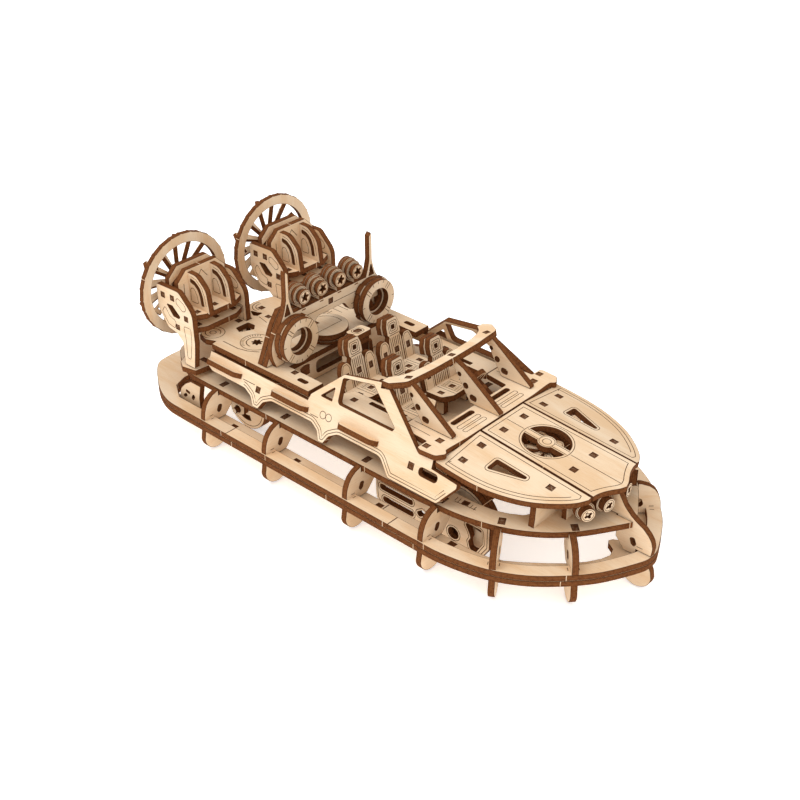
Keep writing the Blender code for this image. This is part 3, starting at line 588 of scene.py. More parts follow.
def burnt_share(tree, burn, sooty):
    """How much of the cut's colour a spot has: the burn, made uneven by the soot, and all of it on a cut."""
    uneven = maths(tree, "MULTIPLY", maths(tree, "SUBTRACT", sooty, 0.5), 0.5)
    share = maths(tree, "ADD", burn, uneven)
    return maths(tree, "MAXIMUM", remap(tree, share, 0.45, 1.0), remap(tree, burn, 0.97, 1.0))


def cut_colour(tree, w, sooty):
    """Brown of a cut: soot over it, darker along the glue lines and towards both faces."""
    cut = mix_colour(tree, remap(tree, sooty, 0.2, 0.62, 0.25, 1.0), SCORCHED, BURNT)
    height = maths(tree, "ABSOLUTE", w)
    off_glue = maths(tree, "ABSOLUTE", maths(tree, "SUBTRACT", height, GLUE_LINE))
    glue = remap(tree, off_glue, 0.00008, 0.0003, 1.0, 0.0)
    cut = mix_colour(tree, maths(tree, "MULTIPLY", glue, GLUE_SHARE), cut, SCORCHED)
    return mix_colour(tree, remap(tree, height, 0.00095, 0.00135, 0.0, 0.75), cut, SCORCHED)


def birch_material(name):
    """Birch with burnt cuts, from the notes on the face corners."""
    mat = bpy.data.materials.new(name)
    mat.use_nodes = True
    tree = mat.node_tree
    shader = tree.nodes["Principled BSDF"]
    plate = add(tree, "Attribute", attribute_name="plate").outputs["Vector"]
    burn = add(tree, "Attribute", attribute_name="burn").outputs["Fac"]
    tone = add(tree, "Attribute", attribute_name="tone").outputs["Fac"]
    wood = add(tree, "Group", node_tree=grain)
    tree.links.new(plate, wood.inputs["Plate"])
    tree.links.new(tone, wood.inputs["Tone"])
    face = mix_colour(tree, remap(tree, wood.outputs["Light"], 0.36, 0.62), WARM, PALE)
    shade = remap(tree, tone, 0.0, 1.0, 0.9, 1.04)
    grey = add(tree, "CombineColor", [(0, shade), (1, shade), (2, shade)]).outputs[0]
    face = mix_colour(tree, 1.0, face, grey, "MULTIPLY")
    face = mix_colour(tree, maths(tree, "MULTIPLY", wood.outputs["Fleck"], FLECK_SHARE), face, FLECK)
    w = add(tree, "SeparateXYZ", [(0, plate)]).outputs[2]
    sooty = add(tree, "TexNoise", [("Vector", plate), ("Scale", SOOT_SCALE), ("Detail", 3.0)]).outputs[0]
    share = burnt_share(tree, burn, sooty)
    tree.links.new(mix_colour(tree, share, face, cut_colour(tree, w, sooty)), shader.inputs["Base Color"])
    tree.links.new(remap(tree, share, 0.0, 1.0, 0.56, 0.78), shader.inputs["Roughness"])
    tree.links.new(remap(tree, share, 0.0, 1.0, 0.2, 0.03), shader.inputs["Specular IOR Level"])
    fibre = [("Strength", 0.35), ("Distance", FIBRE_BUMP), ("Height", wood.outputs["Height"])]
    tree.links.new(add(tree, "Bump", fibre).outputs[0], shader.inputs["Normal"])
    return mat


BIRCH = birch_material("birch_ply")
print("birch material:", len(BIRCH.node_tree.nodes), "nodes")

# %% [markdown]
# ## Engraved lines
# A laser at low power draws instead of cutting. Lines in the material alone would be simpler, but they
# would stay flat in low light, so these helpers turn such marks into the grooves that the plate maker
# sinks.

# %% Engraving helpers
STROKE = 0.36  # widths of engraved lines, in mm
FINE = 0.34
HAIR = 0.3


def line(*points, width=STROKE):
    """Straight or bent engraved line through the points."""
    return groove(points, width)


def ring(cu, cv, r, width=STROKE, n=56):
    """Engraved circle."""
    return groove(circle(cu, cv, r, n), width, True)


def inlay(loop, d, width=STROKE):
    """Engraved line that follows a closed outline at the distance d inside it."""
    return groove(offset(wound(loop), d), width, True)


def border(hole, d, width=STROKE):
    """Engraved line round a hole, at the distance d outside it."""
    return groove(offset(wound(hole), -d), width, True)


def rays(cu, cv, r0, r1, angles, width=STROKE):
    """Short engraved lines that point away from a centre, one for each angle in degrees."""
    out = []
    for a in np.radians(angles):
        out.append(groove([(cu + r * math.cos(a), cv + r * math.sin(a)) for r in (r0, r1)], width))
    return out


print("engraved lines:", STROKE, "mm wide,", GROOVE_DEPTH, "mm deep")

# %% [markdown]
# ## Lower ring
# Two plies lie on each other round the whole craft, with the skirt's ribs standing on the upper one and a
# round foot hanging under each rib. A ring this long is cut in four segments, stern, two sides and bow, and
# the joints of the two plies are staggered so that they hold each other. One closed ring would be quicker
# to draw, but the hairline joints show. So half an outline from the stern to the bow is cut at the joints
# and then mirrored.

# %% Ring segments
TOP_JOINTS = (-17.6, 90.9)
BASE_JOINTS = (-37.9, 78.9)
HAIRLINE = 0.12
FAR_AFT = -200
FAR_FORE = 300


def stretch(half, x0, x1):
    """Part of a half outline between two stations along the hull, its ends cut square."""
    out = []
    for i, p in enumerate(half):
        a = half[i - 1]
        for cut in (x0, x1):
            if i and a[0] < cut < p[0]:
                out.append((cut, a[1] + (p[1] - a[1]) * (cut - a[0]) / (p[0] - a[0])))
        if x0 <= p[0] <= x1:
            out.append((p[0], p[1]))
    return np.array(out)


def ring_parts(outer, inner, joints, gap=HAIRLINE):
    """Closed outlines of the four segments of a hull ring, with a hairline gap between them."""
    aft, fore = joints[0] - gap / 2, joints[1] + gap / 2
    stern = np.concatenate([stretch(outer, FAR_AFT, aft), stretch(inner, FAR_AFT, aft)[::-1]])
    side = np.concatenate([stretch(outer, aft + gap, fore - gap), stretch(inner, aft + gap, fore - gap)[::-1]])
    bow = np.concatenate([stretch(outer, fore, FAR_FORE)[::-1], stretch(inner, fore, FAR_FORE)])
    return {"stern": mirrored(stern), "starboard": flipped(side), "port": side, "bow": mirrored(bow)}


def segment_of(x, s, joints):
    """Name of the ring segment that carries the rib or foot at station x on side s."""
    if x < joints[0]:
        return "stern"
    if x > joints[1]:
        return "bow"
    return "port" if s > 0 else "starboard"


RIM_WIDTH = 7.0
LOWER_STERN = [(-98, 29), (-97, 36.2), (-93.5, 41.5), (-84.6, 48.7), (-73, 56), (-62, 59.8), (-50, 60.4)]
LOWER_BOW = [(105, 60.4), (121, 60.0), (140.8, 55.9), (156.6, 48.3), (169.6, 37.4), (180.9, 24), (189.8, 6.7),
             (191.3, 0)]
BASE_INNER = [(-74, 0), (-74, 39), (-71, 47), (-66.5, 48.6), (-60, 45.4), (105, 46.2), (124, 46.2),
              (133, 45.6), (138, 44.4), (143, 42.3), (150, 37.4), (158, 31.0), (165, 24.8), (170, 18.8),
              (173.6, 12.8), (175, 8.2), (173.5, 4.2), (169.5, 1.8), (168.5, 0)]
TOP_STERN = [(-74, 0), (-74, 39), (-71, 47), (-61, 53.4)]
ring_half = np.concatenate([[(-98, 0)], smooth(LOWER_STERN), smooth(LOWER_BOW)])
bow_inner = offset(mirrored(smooth(LOWER_BOW)), -RIM_WIDTH)
bow_inner = bow_inner[(bow_inner[:, 1] > 1.0) & (bow_inner[:, 0] > 106.0)]
top_inner = np.concatenate([TOP_STERN, [(105, 53.4)], bow_inner, [(184.3, 0)]])
print("lower ring:", round(float(np.ptp(ring_half[:, 0])), 1), "mm long,", len(ring_half), "points a side")

# %% [markdown]
# A rib is a curved plate that leans out from the deck ring to the lower ring, with one slot through it.
# Four stand square to each side and two more turn with the curve of the bow. An array modifier could repeat
# the straight ones, but not those at the bow, so each rib has a place of its own. Beside each the ring has
# two short engraved strokes that show where the rib goes.

# %% Ribs and feet
HULL_REACH = 60.0  # from the hull's middle to the lower ring's rim
DECK_REACH = 49.4  # from the hull's middle to the deck ring's rim
RIB_X = [-35.2, 9.3, 63.4, 109.5]
BOW_RIBS = [  # x and y at the rim, heading, deck ring's reach
    (145.6, 54.0, 60.5, 47.5),
    (174.0, 33.0, 43.0, 47.95),
]
RIB_ARC = smooth([(53.6, 18.4), (56.6, 16.0), (58.8, 12.0), (59.6, 8.0), (59.7, 5.4)], 6)
FOOT = np.concatenate([[(59.6, 0.7), (60.0, -1.9)], arc(52.7, -4.6, 7.9, -5, -175), [(45.6, 0.7)]])
RIB_HOLE = fillet([(48.0, 10.6, 0.9), (50.2, 11.4, 0.9), (51.4, 8.4, 0.9), (50.2, 6.8, 0.6), (48.9, 7.8, 0.6)])
RIB_MARKS = [line((54.2, 7.2), (56.4, 7.2)), line((43.8, 14.6), (46.2, 14.6))]


def rib(edge):
    """A rib seen from the bow: edge is the reach where the deck ring ends."""
    start = [(40.9, 16.7), (edge + 0.35, 16.7), (edge + 0.35, 19.7)] + ([(49.8, 19.6)] if edge < 49 else [])
    return np.concatenate([start, RIB_ARC, [(53.6, 5.4), (53.6, 3.3), (46.0, 3.3), (40.9, 9.0)]])


def upright(x, y, heading, reach):
    """Upright place whose first axis points outwards and passes reach at (x, y)."""
    d = np.array([math.cos(math.radians(heading)), math.sin(math.radians(heading)), 0])
    return plane(np.array([x, y, 0]) - d * reach, d, UP)


rib_places = [(x, s, upright(x, s * HULL_REACH, s * 90.0, HULL_REACH), DECK_REACH)
              for s in (-1, 1) for x in RIB_X]
rib_places += [(x, s, upright(x, s * y, s * h, HULL_REACH), e) for s in (-1, 1) for x, y, h, e in BOW_RIBS]
print("ribs:", len(rib_places))

# %% [markdown]
# Now the ring's segments are laid, the lower ply with its slots and feet, the upper one with its ribs. The
# feet and ribs belong to the segment they stand on, as glue would hold them, so they are plates of that
# piece.

# %% Lower ring
RING_PLY = 2.82
BASE_LEVEL = 1.43
TOP_LEVEL = 4.57
BASE_SLOTS = [(-23.0, 50.0), (22.0, 50.0), (76.0, 49.4), (119.0, 48.6)]  # x, y
KEEL_FOOT = np.concatenate([[(190.6, 0.7), (191.8, -1.9)], arc(184.6, -4.9, 7.9, -5, -175), [(177.6, 0.7)]])
for name, outline in ring_parts(ring_half, BASE_INNER, BASE_JOINTS).items():
    slots = [box(x, s * y, 3.4, 2.6) for x, y in BASE_SLOTS for s in (-1, 1)
             if segment_of(x, s, BASE_JOINTS) == name]
    plates = [ply(outline, slots, level(BASE_LEVEL), RING_PLY)]
    plates += [ply(FOOT, [], place) for x, s, place, edge in rib_places
               if segment_of(x, s, BASE_JOINTS) == name]
    plates += [ply(KEEL_FOOT, [], along(0.0))] if name == "bow" else []
    piece("lower_ring_base_" + name, plates)
for name, outline in ring_parts(ring_half, top_inner, TOP_JOINTS).items():
    here = [(place, edge) for x, s, place, edge in rib_places if segment_of(x, s, TOP_JOINTS) == name]
    marks = []
    for place, edge in here:
        for side in (-2.5, 2.5):
            ends = [place[3] + place[0] * r + place[2] * side for r in (54.6, 56.6)]
            marks.append(line(*[e[:2] for e in ends]))
    plates = [ply(outline, [], level(TOP_LEVEL), RING_PLY, marks)]
    plates += [ply(rib(edge), [RIB_HOLE], place, PLY, RIB_MARKS, RIB_MARKS) for place, edge in here]
    piece("lower_ring_top_" + name, plates)

# %% [markdown]
# ## Deck ring
# The deck ring lies on the ribs. It is open in the middle for the cabin and has a well on each side of the
# bow where a rolling wheel comes up through it. The burnt ends of the ribs' tenons show in its slots. Two
# posts and two lamp boards stand on it under the bonnet, and four brackets hang from it for the axles.
# Holes could be cut out with booleans, but as loops in the same outline they get their own burnt edge and
# halo.

# %% Deck ring, posts and brackets
DECK_LEVEL = 18.5
UPPER_STERN = [(-82, 30), (-79.5, 35.5), (-74, 40.2), (-66, 45.2), (-54, 49.3)]
UPPER_BOW = [(100, 49.4), (122, 47.6), (141, 42.3), (156, 33.6), (167.6, 22), (177.2, 7.6), (180.6, 1.8)]
BRACKETS = [  # plate's y, bore x and z, outline
    (34.0, -36.6, 0.5, [(-43.0, 17.8), (-30.0, 17.8), (-32.0, -1.0), (-34.6, -2.6), (-38.6, -2.6),
                        (-41.0, -1.0)]),
    (24.0, 110.8, 4.2, [(92.4, 18.4), (97.2, 18.4), (104.0, 13.0), (112.6, 9.4), (115.0, 6.4), (115.0, 2.4),
                        (112.6, 0.2), (108.6, 0.2), (92.4, 11.0)]),
]
BORE = 2.0
deck_half = np.concatenate([[(-82, 0)], smooth(UPPER_STERN), smooth(UPPER_BOW), [(172.2, 1.8), (172.2, 0.0)]])
cabin_hole = fillet([(-30, -31, 4), (92, -31, 4), (92, 31, 4), (-30, 31, 4)])
WHEEL_WELL = fillet([(97.6, 12, 2), (97.6, 36.8, 3), (124.0, 36.0, 30), (131.0, 35.0, 20), (137.0, 32.7, 12),
                     (142.7, 29.2, 3), (144.5, 26.0, 2), (144.5, 12, 2)])
BOW_TENONS = [(138.3, 38.9, 60.5), (164.3, 21.5, 43.0)]  # x, y, heading
ends = [box(x, s * 44.2, 2.9, 4.4) for x in RIB_X for s in (-1, 1)]
ends += [box(x, s * y, 4.4, 2.9, s * turn) for x, y, turn in BOW_TENONS for s in (-1, 1)]
holes = [cabin_hole, circle(131.8, 0, 1.72, 20), WHEEL_WELL, flipped(WHEEL_WELL)]
marks = []
for s in (-1, 1):
    holes.append(box(118.6, s * 39.4, 3.0, 2.6, s * -8))
    marks += [line((x, s * 38.4), (x + 0.4, s * 41.2)) for x in (113.2, 115.0, 121.8, 123.8)]
    marks.append(line((114.0, s * 41.6), (125.0, s * 40.4)))
deck = [ply(mirrored(deck_half), holes, level(DECK_LEVEL), PLY, marks, (), ends)]
for s in (-1, 1):
    post = [(s * 16.5, 18.6), (s * 34.2, 18.6), (s * 33.4, 24.0), (s * 33.0, 31.6), (s * 16.5, 33.7)]
    lamp_board = [(s * 3.2, 18.6), (s * 19.8, 18.6), (s * 19.8, 30.4), (s * 3.2, 31.6)]
    deck.append(ply(post, [], across(150.0)))
    deck.append(ply(lamp_board, [], across(157.0), 2.4))
    deck += [ply(loop, [circle(x, z, BORE, 20)], along(s * y)) for y, x, z, loop in BRACKETS]
piece("upper_deck_ring", deck)

# %% [markdown]
# The keel is the upright plate in the middle of the bow. It runs down the nose in one curve and locks the
# deck ring to the lower ring, and it has the same slot and strokes as a rib, so the rib's are moved there.

# %% Bow keel
KEEL = [(150, 33.9), (171.6, 32.0), (173.6, 29.2, 4), (175.8, 25.8, 6), (179.4, 22.5, 8), (182.4, 20.6, 8),
        (185.9, 18.9, 8), (188.7, 16.5, 6), (190.5, 14.2, 4), (191.6, 10.8, 6), (191.0, 6.35), (183.4, 6.35),
        (183.4, 3.2), (177.2, 3.2), (172.6, 8.6), (172.6, 20.3), (160, 20.3), (156, 24), (150, 25)]
KEEL_HOLE = RIB_HOLE + (131.8, 0.6)
keel_marks = [line((183.6, 8.2), (186.6, 8.2)), line((174.6, 14.0), (174.6, 17.2))]
piece("bow_keel", [ply(fillet(KEEL), [KEEL_HOLE], along(0.0), PLY, keel_marks, keel_marks)])

# %% [markdown]
# ## Chassis
# Two upright plates under the cabin stiffen the hull, two small frames do so at the stern, and the cabin's
# floor lies between. Every opening in the long plates has a fine engraved line round it at about a
# millimetre, and so has the plate's own edge. Drawing each line by hand would take as long as the holes
# did, so the holes' outlines are moved outwards instead.

# %% Chassis plates, stern frames and cabin floor
CHASSIS = fillet([(62.5, 16.7), (62.5, -1), (63.0, -5.5, 2.5), (67, -8.8, 3), (126, -8.8, 3), (131, -1, 3),
                  (131, 16.7)])
CHASSIS_HOLES = [
    oblong(75.5, 2.5, 20.5, 3.0), oblong(76.8, -3.9, 19.0, 3.0), oblong(91.0, -0.8, 5.0, 2.6, 35),
    circle(110.3, -2.0, 3.0, 32),
    fillet([(116.6, 7.6, 1), (126.5, 7.6, 1.4), (127.2, 0.5, 1), (123.6, -5.8, 1), (120.2, -5.6, 1),
            (119.2, -2.0, 1), (120.6, 0.6, 2), (118.8, 4.4, 1.5)]),
]
STERN_FRAME = fillet([(-46.4, 16.6), (-48.0, 9.0, 4), (-47.8, 3.2), (-64.2, 3.2), (-62.5, 9.5, 5),
                      (-58.4, 13.8, 5), (-54.0, 16.6)])
chassis_marks = [border(h, 1.0) for h in CHASSIS_HOLES] + [inlay(CHASSIS, 1.3)]
for s, side in ((-1, "starboard"), (1, "port")):
    top, under = (chassis_marks, ()) if s < 0 else ((), chassis_marks)
    piece("chassis_plate_" + side, [ply(CHASSIS, CHASSIS_HOLES, along(s * 36.0), PLY, top, under)])
    holes = [oblong(-59.2, 6.6, 3.0, 1.4, 40), oblong(-57.0, 9.4, 3.0, 1.4, -10),
             oblong(-53.0, 7.6, 3.2, 1.6, 60)]
    piece("stern_frame_" + side, [ply(STERN_FRAME, holes, along(s * 49.2))])
FLOOR_LEVEL = 21.85
floor_slots = [box(x, y, 3.0, 8.0) for x in (-20.0, 34.0) for y in (-14.0, 14.0)]
cabin = fillet([(-34, -37, 3), (101.8, -37, 3), (101.8, 37, 3), (-34, 37, 3)])
piece("cabin_floor", [ply(cabin, [], level(FLOOR_LEVEL), PLY, [inlay(cabin, 2.0)], (), floor_slots)])

# %% [markdown]
# ## Rear deck
# The deck behind the cabin carries the arch, the round stack and the nacelles. It is bare ply with tenon
# slots, a few dark openings, one of them shaped like a gear wheel, and engraved fittings: a toothed ring, a
# round hatch and the arcs of a turning plate. Two walls hold it up. A decal would be the quick way to such
# fittings, but they are cut and burnt in the wood, so they are holes and grooves here too.

# %% Outline of the rear deck
def toothed(cu, cv, r0, r1, teeth, turn=0.0):
    """Outline of a gear or a star: the radius jumps between r0 and r1, twice for each tooth."""
    t = np.radians(turn) + np.arange(teeth * 4) * np.pi / (2 * teeth)
    r = np.array([r0, r0, r1, r1] * teeth)
    return np.stack([cu + r * np.cos(t), cv + r * np.sin(t)], 1)


REAR_DECK = [(-60.6, 0), (-60.0, 5.0), (-58.4, 9.6), (-57.6, 11.6), (-57.6, 12.25), (-47.9, 12.25),
             (-47.9, 15.95), (-57.6, 15.95), (-57.6, 36), (-55, 41.2), (-49, 42.6), (-43.6, 40.5),
             (-43.0, 43.6), (24.6, 43.0), (24.6, 33.0), (1.5, 33.0)]
deck_holes = [fillet([(-54.6, -7.2, 0.4), (-49.6, -9.6, 0.8), (-47.9, -8.4, 0.5), (-48.2, -4.6, 0.5),
                      (-50.6, -6.2, 1)])]
deck_ends = [box(-52.7, -1.1, 2.8, 2.8), box(-43.0, -5.3, 2.8, 2.4)]
marks = []
for s in (1, -1):
    deck_holes += [box(16.0, s * 38.0, 6.0, 2.4, 0, 1.0),
                   fillet([(-46.2, s * 24.6, 0.6), (-41.8, s * 26.2, 0.6), (-38.6, s * 19.4, 0.8),
                           (-41.4, s * 16.4, 0.6), (-46.0, s * 16.6, 0.6)])]
    deck_ends += [box(7.5, s * 35.0, 2.8, 2.8), box(-51.0, s * 18.5, 3.0, 2.8)]
    marks += [line((-41.0, s * 38.0), (-30.0, s * 38.0), (-24.6, s * 36.4), (-19.6, s * 33.2), width=0.5),
              ring(-51.5, s * 35.5, 6.0), groove(arc(-51.5, s * 35.5, 3.9, 20, 300)),
              ring(-51.5, s * 35.5, 1.6)]
print("rear deck:", len(deck_holes), "holes and", len(deck_ends), "tenon ends so far")

# %% [markdown]
# The other fittings differ from side to side: to starboard a gear-shaped hole in a ring of strokes, to port
# two slanted openings and straight lines, and between them the arcs. They join the lists of the paired
# ones, and the deck is cut as one plate, because cutting them into a finished mesh would leave them without
# a halo.

# %% Rear deck
deck_holes.append(fillet([(6.4, -24.2, 0.6), (9.4, -27.0, 0.8), (9.9, -32.2, 0.4), (7.4, -31.4, 0.8),
                          (6.2, -28.0, 1)]))
marks += [ring(-28.0, -27.5, 8.0)] + rays(-28.0, -27.5, 6.2, 7.6, range(120, 260, 11))
marks += [groove(arc(-28.0, -27.5, 5.0, 100, 280), 0.5)]
deck_holes.append(toothed(-27.6, -27.4, 2.7, 1.8, 7))
marks += [groove(arc(-53.0, 0.0, r, 150 + r, 292 - r)) for r in (3.6, 5.4)]
marks += [line((-46.6, -8.6), (-39.0, -10.2))]
deck_holes += [fillet([(-27.2, 32.6, 0.3), (-26.2, 35.0, 0.3), (-16.2, 31.6, 0.3), (-16.6, 30.0, 0.3)]),
               fillet([(-33.4, 30.6, 0.4), (-32.6, 32.8, 0.3), (-29.6, 28.2, 0.3), (-29.8, 26.0, 0.4)])]
marks += [line((-31.2, 7.0), (-31.2, 24.6)), line((-31.2, 34.4), (-31.2, 42.0)),
          line((-24.2, 9.0), (-24.2, 20.0)), line((-22.8, 9.6), (-22.8, 21.0)),
          line((-26.0, 23.4), (-18.0, 23.4)), line((-26.4, 27.4), (-17.4, 27.4))]
wall = fillet([(-38, 23.7), (38, 23.7), (38, 37.6), (-38, 37.6)])
walls = [ply(wall, [box(0, 30, 26, 7, 0, 2)], across(x)) for x in (-33.0, -2.0)]
piece("rear_deck", [ply(mirrored(REAR_DECK), deck_holes, level(38.5), PLY, marks, (), deck_ends)] + walls)

# %% [markdown]
# ## Side panels
# Each side panel leans inwards by the same slope. Its outline is measured as it stands, in length and
# height, and stretched along the slope before it is cut, because a flat outline that is only tilted would
# come out too low. Two engraved lines follow its wavy lower edge, and three fender rails stand out of it.
# Inside, beside the front seats, lies a narrow level shelf with a slot and a tenon end.

# %% Slope and outlines of the side panels
PANEL_K = 0.416  # how far the panel comes in for each millimetre up
PANEL_Y0 = 59.35
LEAN = math.sqrt(1 + PANEL_K ** 2)


def lean(points):
    """Outline in length and height, its heights times the root of one plus the slope squared."""
    return [(p[0], p[1] * LEAN) + tuple(p[2:]) for p in points]


def panel_place(s):
    """Place of a leaning panel, with its outer face on the slope."""
    out = np.array([0, s, PANEL_K]) / LEAN
    return plane(np.array([0, s * PANEL_Y0, 0]) - out * PLY / 2, AHEAD, (0, -s * PANEL_K, 1))


PANEL = [(-43.3, 36.4), (-43.3, 29.6, 1), (-39.5, 27.7, 4), (-15.5, 27.7, 5), (-10.5, 25.5, 3), (-7.6, 21.6),
         (-4.0, 21.6), (-1.5, 25.5, 3), (3.5, 27.9, 5), (31.0, 28.0, 5), (35.3, 25.6, 3), (37.4, 21.6),
         (40.6, 21.6), (43.0, 25.6, 3), (48.0, 28.4, 5), (74.5, 28.5, 5), (81.5, 21.6, 3), (110.5, 21.6, 2),
         (118.6, 31.2, 2), (118.4, 33.1, 0.6), (103.4, 34.2), (103.1, 38.1), (93.6, 38.2), (70.0, 56.7),
         (65.2, 55.8), (64.9, 58.3), (43.0, 54.2, 2), (26.4, 39.6), (25.4, 36.4)]
WINDOW = fillet(lean([(42.8, 52.4, 1.2), (61.0, 55.6, 1.6), (78.4, 42.5, 0.8), (77.4, 41.0, 0.6),
                      (43.4, 40.9, 2.0)]))
VEE = fillet(lean([(32.4, 40.8, 0.3), (39.7, 40.8, 0.3), (39.7, 47.1, 0.3)]))
PANEL_SLOT = oblong(102.4, 31.0 * LEAN, 10.6, 3.9)
print("side panel:", len(fillet(lean(PANEL))), "points, sheet", round(LEAN, 3), "times as high as it stands")

# %% [markdown]
# The two engraved lines run beside the wavy edge and stop short of its ends. Tracing them would leave their
# distance from the edge uneven, so the edge itself is moved inwards twice and cut to length. A rail is a
# small plate that stands square on the panel.

# %% Side panels with rails and shelf
WAVE = [(-40.0, 27.7), (-15.5, 27.7, 5), (-10.5, 25.5, 3), (-7.6, 21.6, 2), (-4.0, 21.6, 2), (-1.5, 25.5, 3),
        (3.5, 27.9, 5), (31.0, 28.0, 5), (35.3, 25.6, 3), (37.4, 21.6, 2), (40.6, 21.6, 2), (43.0, 25.6, 3),
        (48.0, 28.4, 5), (74.5, 28.5, 5), (81.5, 21.6, 3), (110.5, 21.6, 2), (114.9, 26.8), (118.6, 31.2),
        (118.6, 60.0), (-40.0, 60.0)]
RAILS = [(-43.3, 31.9), (3.0, 32.3), (47.5, 33.0)]  # start x, height
RAIL = fillet([(0.3, -0.8), (24.3, -0.8), (24.3, 1.0, 0.8), (21.6, 3.5, 2.4), (2.2, 3.5, 1.6), (0.3, 1.4, 0.8)])
RAIL_PLY = 2.6
SHELF = fillet([(39.3, 26.5), (75.5, 26.5, 1), (75.5, 38.6, 0.5), (36.6, 38.6, 0.5), (36.6, 32.4, 0.4)])
SHELF_SLOT = fillet([(52.0, 28.3, 0.4), (64.2, 28.3, 0.4), (64.2, 30.5, 0.4), (52.0, 30.5, 0.4)])
SHELF_LEVEL = 37.5
wave = fillet(lean(WAVE))
panel_marks = []
for d, start in ((1.4, -38.4), (2.8, -37.0)):
    path = offset(wave, d)
    bow = (path[:, 0] > 106) & (path[:, 1] > 29.4 * LEAN)
    path = path[(path[:, 0] > start) & (path[:, 1] < 36 * LEAN) & ~bow]
    panel_marks.append(groove(path, FINE))
panel_marks += [line(*np.array(lean([(a, 31.2), (b, 31.2)]))) for a, b in ((-17.6, -9.2), (29.0, 34.2))]
panel_marks += [ring(x, 33.3 * LEAN, 1.8, 0.32) for x in (36.6, 40.3)]
panel_ends = [box(-6.5, 29.8 * LEAN, 2.8, 2.8), box(92.3, 31.2 * LEAN, 3.0, 3.0)]
for s, side in ((-1, "starboard"), (1, "port")):
    top, under = (panel_marks, ()) if s < 0 else ((), panel_marks)
    holes = [WINDOW, VEE, PANEL_SLOT]
    plates = [ply(fillet(lean(PANEL)), holes, panel_place(s), PLY, top, under, panel_ends)]
    for x, z in RAILS:
        at = (x, s * (PANEL_Y0 - PANEL_K * z), z)
        plates.append(ply(RAIL, [], plane(at, AHEAD, np.array([0, s, PANEL_K])), RAIL_PLY))
    shelf = SHELF if s > 0 else flipped(SHELF)
    slot = SHELF_SLOT if s > 0 else flipped(SHELF_SLOT)
    plates.append(ply(shelf, [slot], level(SHELF_LEVEL), PLY, (), (), [box(44.5, s * 32.5, 2.8, 2.8)]))
    piece("side_panel_" + side, plates)

# %% [markdown]
# ## Bonnet
# Three plates slope down to the bow. The middle one has the round grille over the lift fan, the outer two
# fall away to the sides. One folded sheet would close their seams, but plywood doesn't bend, and the seams
# show. Outlines are measured in plan and stretched along both slopes, as with the side panels.

# %% Bonnet, middle plate
SLOPE = -0.0904
FALL = 0.126
SEAM_Y = 15.6  # from here outwards the outer plates fall away
FACE_X = 113.3
FACE_Z = 40.6  # height of the bonnet's face at FACE_X
GRILLE_X = 131.8


def sloped(points, fall=0.0):
    """Plan outline, its lengths times the root of one plus the slope squared, its widths likewise by fall."""
    su, sv = math.sqrt(1 + SLOPE ** 2), math.sqrt(1 + fall ** 2)
    return [(p[0] * su, p[1] * sv) + tuple(p[2:]) for p in points]


def bonnet_place(s):
    """Place half a ply under a bonnet plate's face: 0 is the middle, -1 starboard, 1 port."""
    fall = FALL if s else 0.0
    z0 = FACE_Z - SLOPE * FACE_X + fall * SEAM_Y
    return plane((0, 0, z0 - PLY / 2), (1, 0, SLOPE), (0, s if s else 1, -fall))


NOSE = smooth([(168.6, 16.3), (168.9, 13.6), (169.9, 10.2), (171.6, 6.6), (173.4, 3.4), (174.6, 0)], 5)
half_hole = np.concatenate([arc(GRILLE_X, 0, 11.2, 11.5, 168.5), [(127.9, 2.2)],
                            arc(GRILLE_X, 0, 4.4, 150, 30), [(135.7, 2.2)]])
grille = [sloped(h) for h in (half_hole, flipped(half_hole))]
centre_ends = [sloped(box(x, s * 7.4, 3.0, 3.0)) for x in (113.2, 151.9) for s in (1, -1)]
inner_nose = smooth([(165.8, 14.0), (166.5, 11.8), (167.8, 8.6), (169.4, 5.4), (171.0, 2.6), (171.8, 0)], 5)
inner_line = mirrored(np.concatenate([[(108.6, 0), (108.6, 13.0)], inner_nose]))
centre_marks = [groove(sloped(inner_line), FINE, True),
                line(*sloped([(144.8, 0), (171.4, 0)])), line(*sloped([(109.0, 0), (118.8, 0)])),
                groove(sloped(circle(GRILLE_X, 0, 12.4, 64)), FINE, True)]
centre_marks += [groove(sloped(circle(GRILLE_X, 0, r, 32)), HAIR, True) for r in (3.6, 2.0)]
for a, b in ((120.2, 128.2), (135.4, 143.4)):
    centre_marks += [line(*sloped([(a, v), (b, v)])) for v in (-1.3, 1.3)]
centre_outline = mirrored(np.concatenate([[(106.6, 0), (106.6, 15.1)], NOSE]))
plate = ply(sloped(centre_outline), grille, bonnet_place(0), PLY, centre_marks, (), centre_ends)
piece("bonnet_centre", [plate])

# %% [markdown]
# The outer plates are each other's mirror image. They share one outline and one set of lines, and the
# starboard one is the same sheet turned over: its place has the second axis the other way, so its lines go
# on the other face.

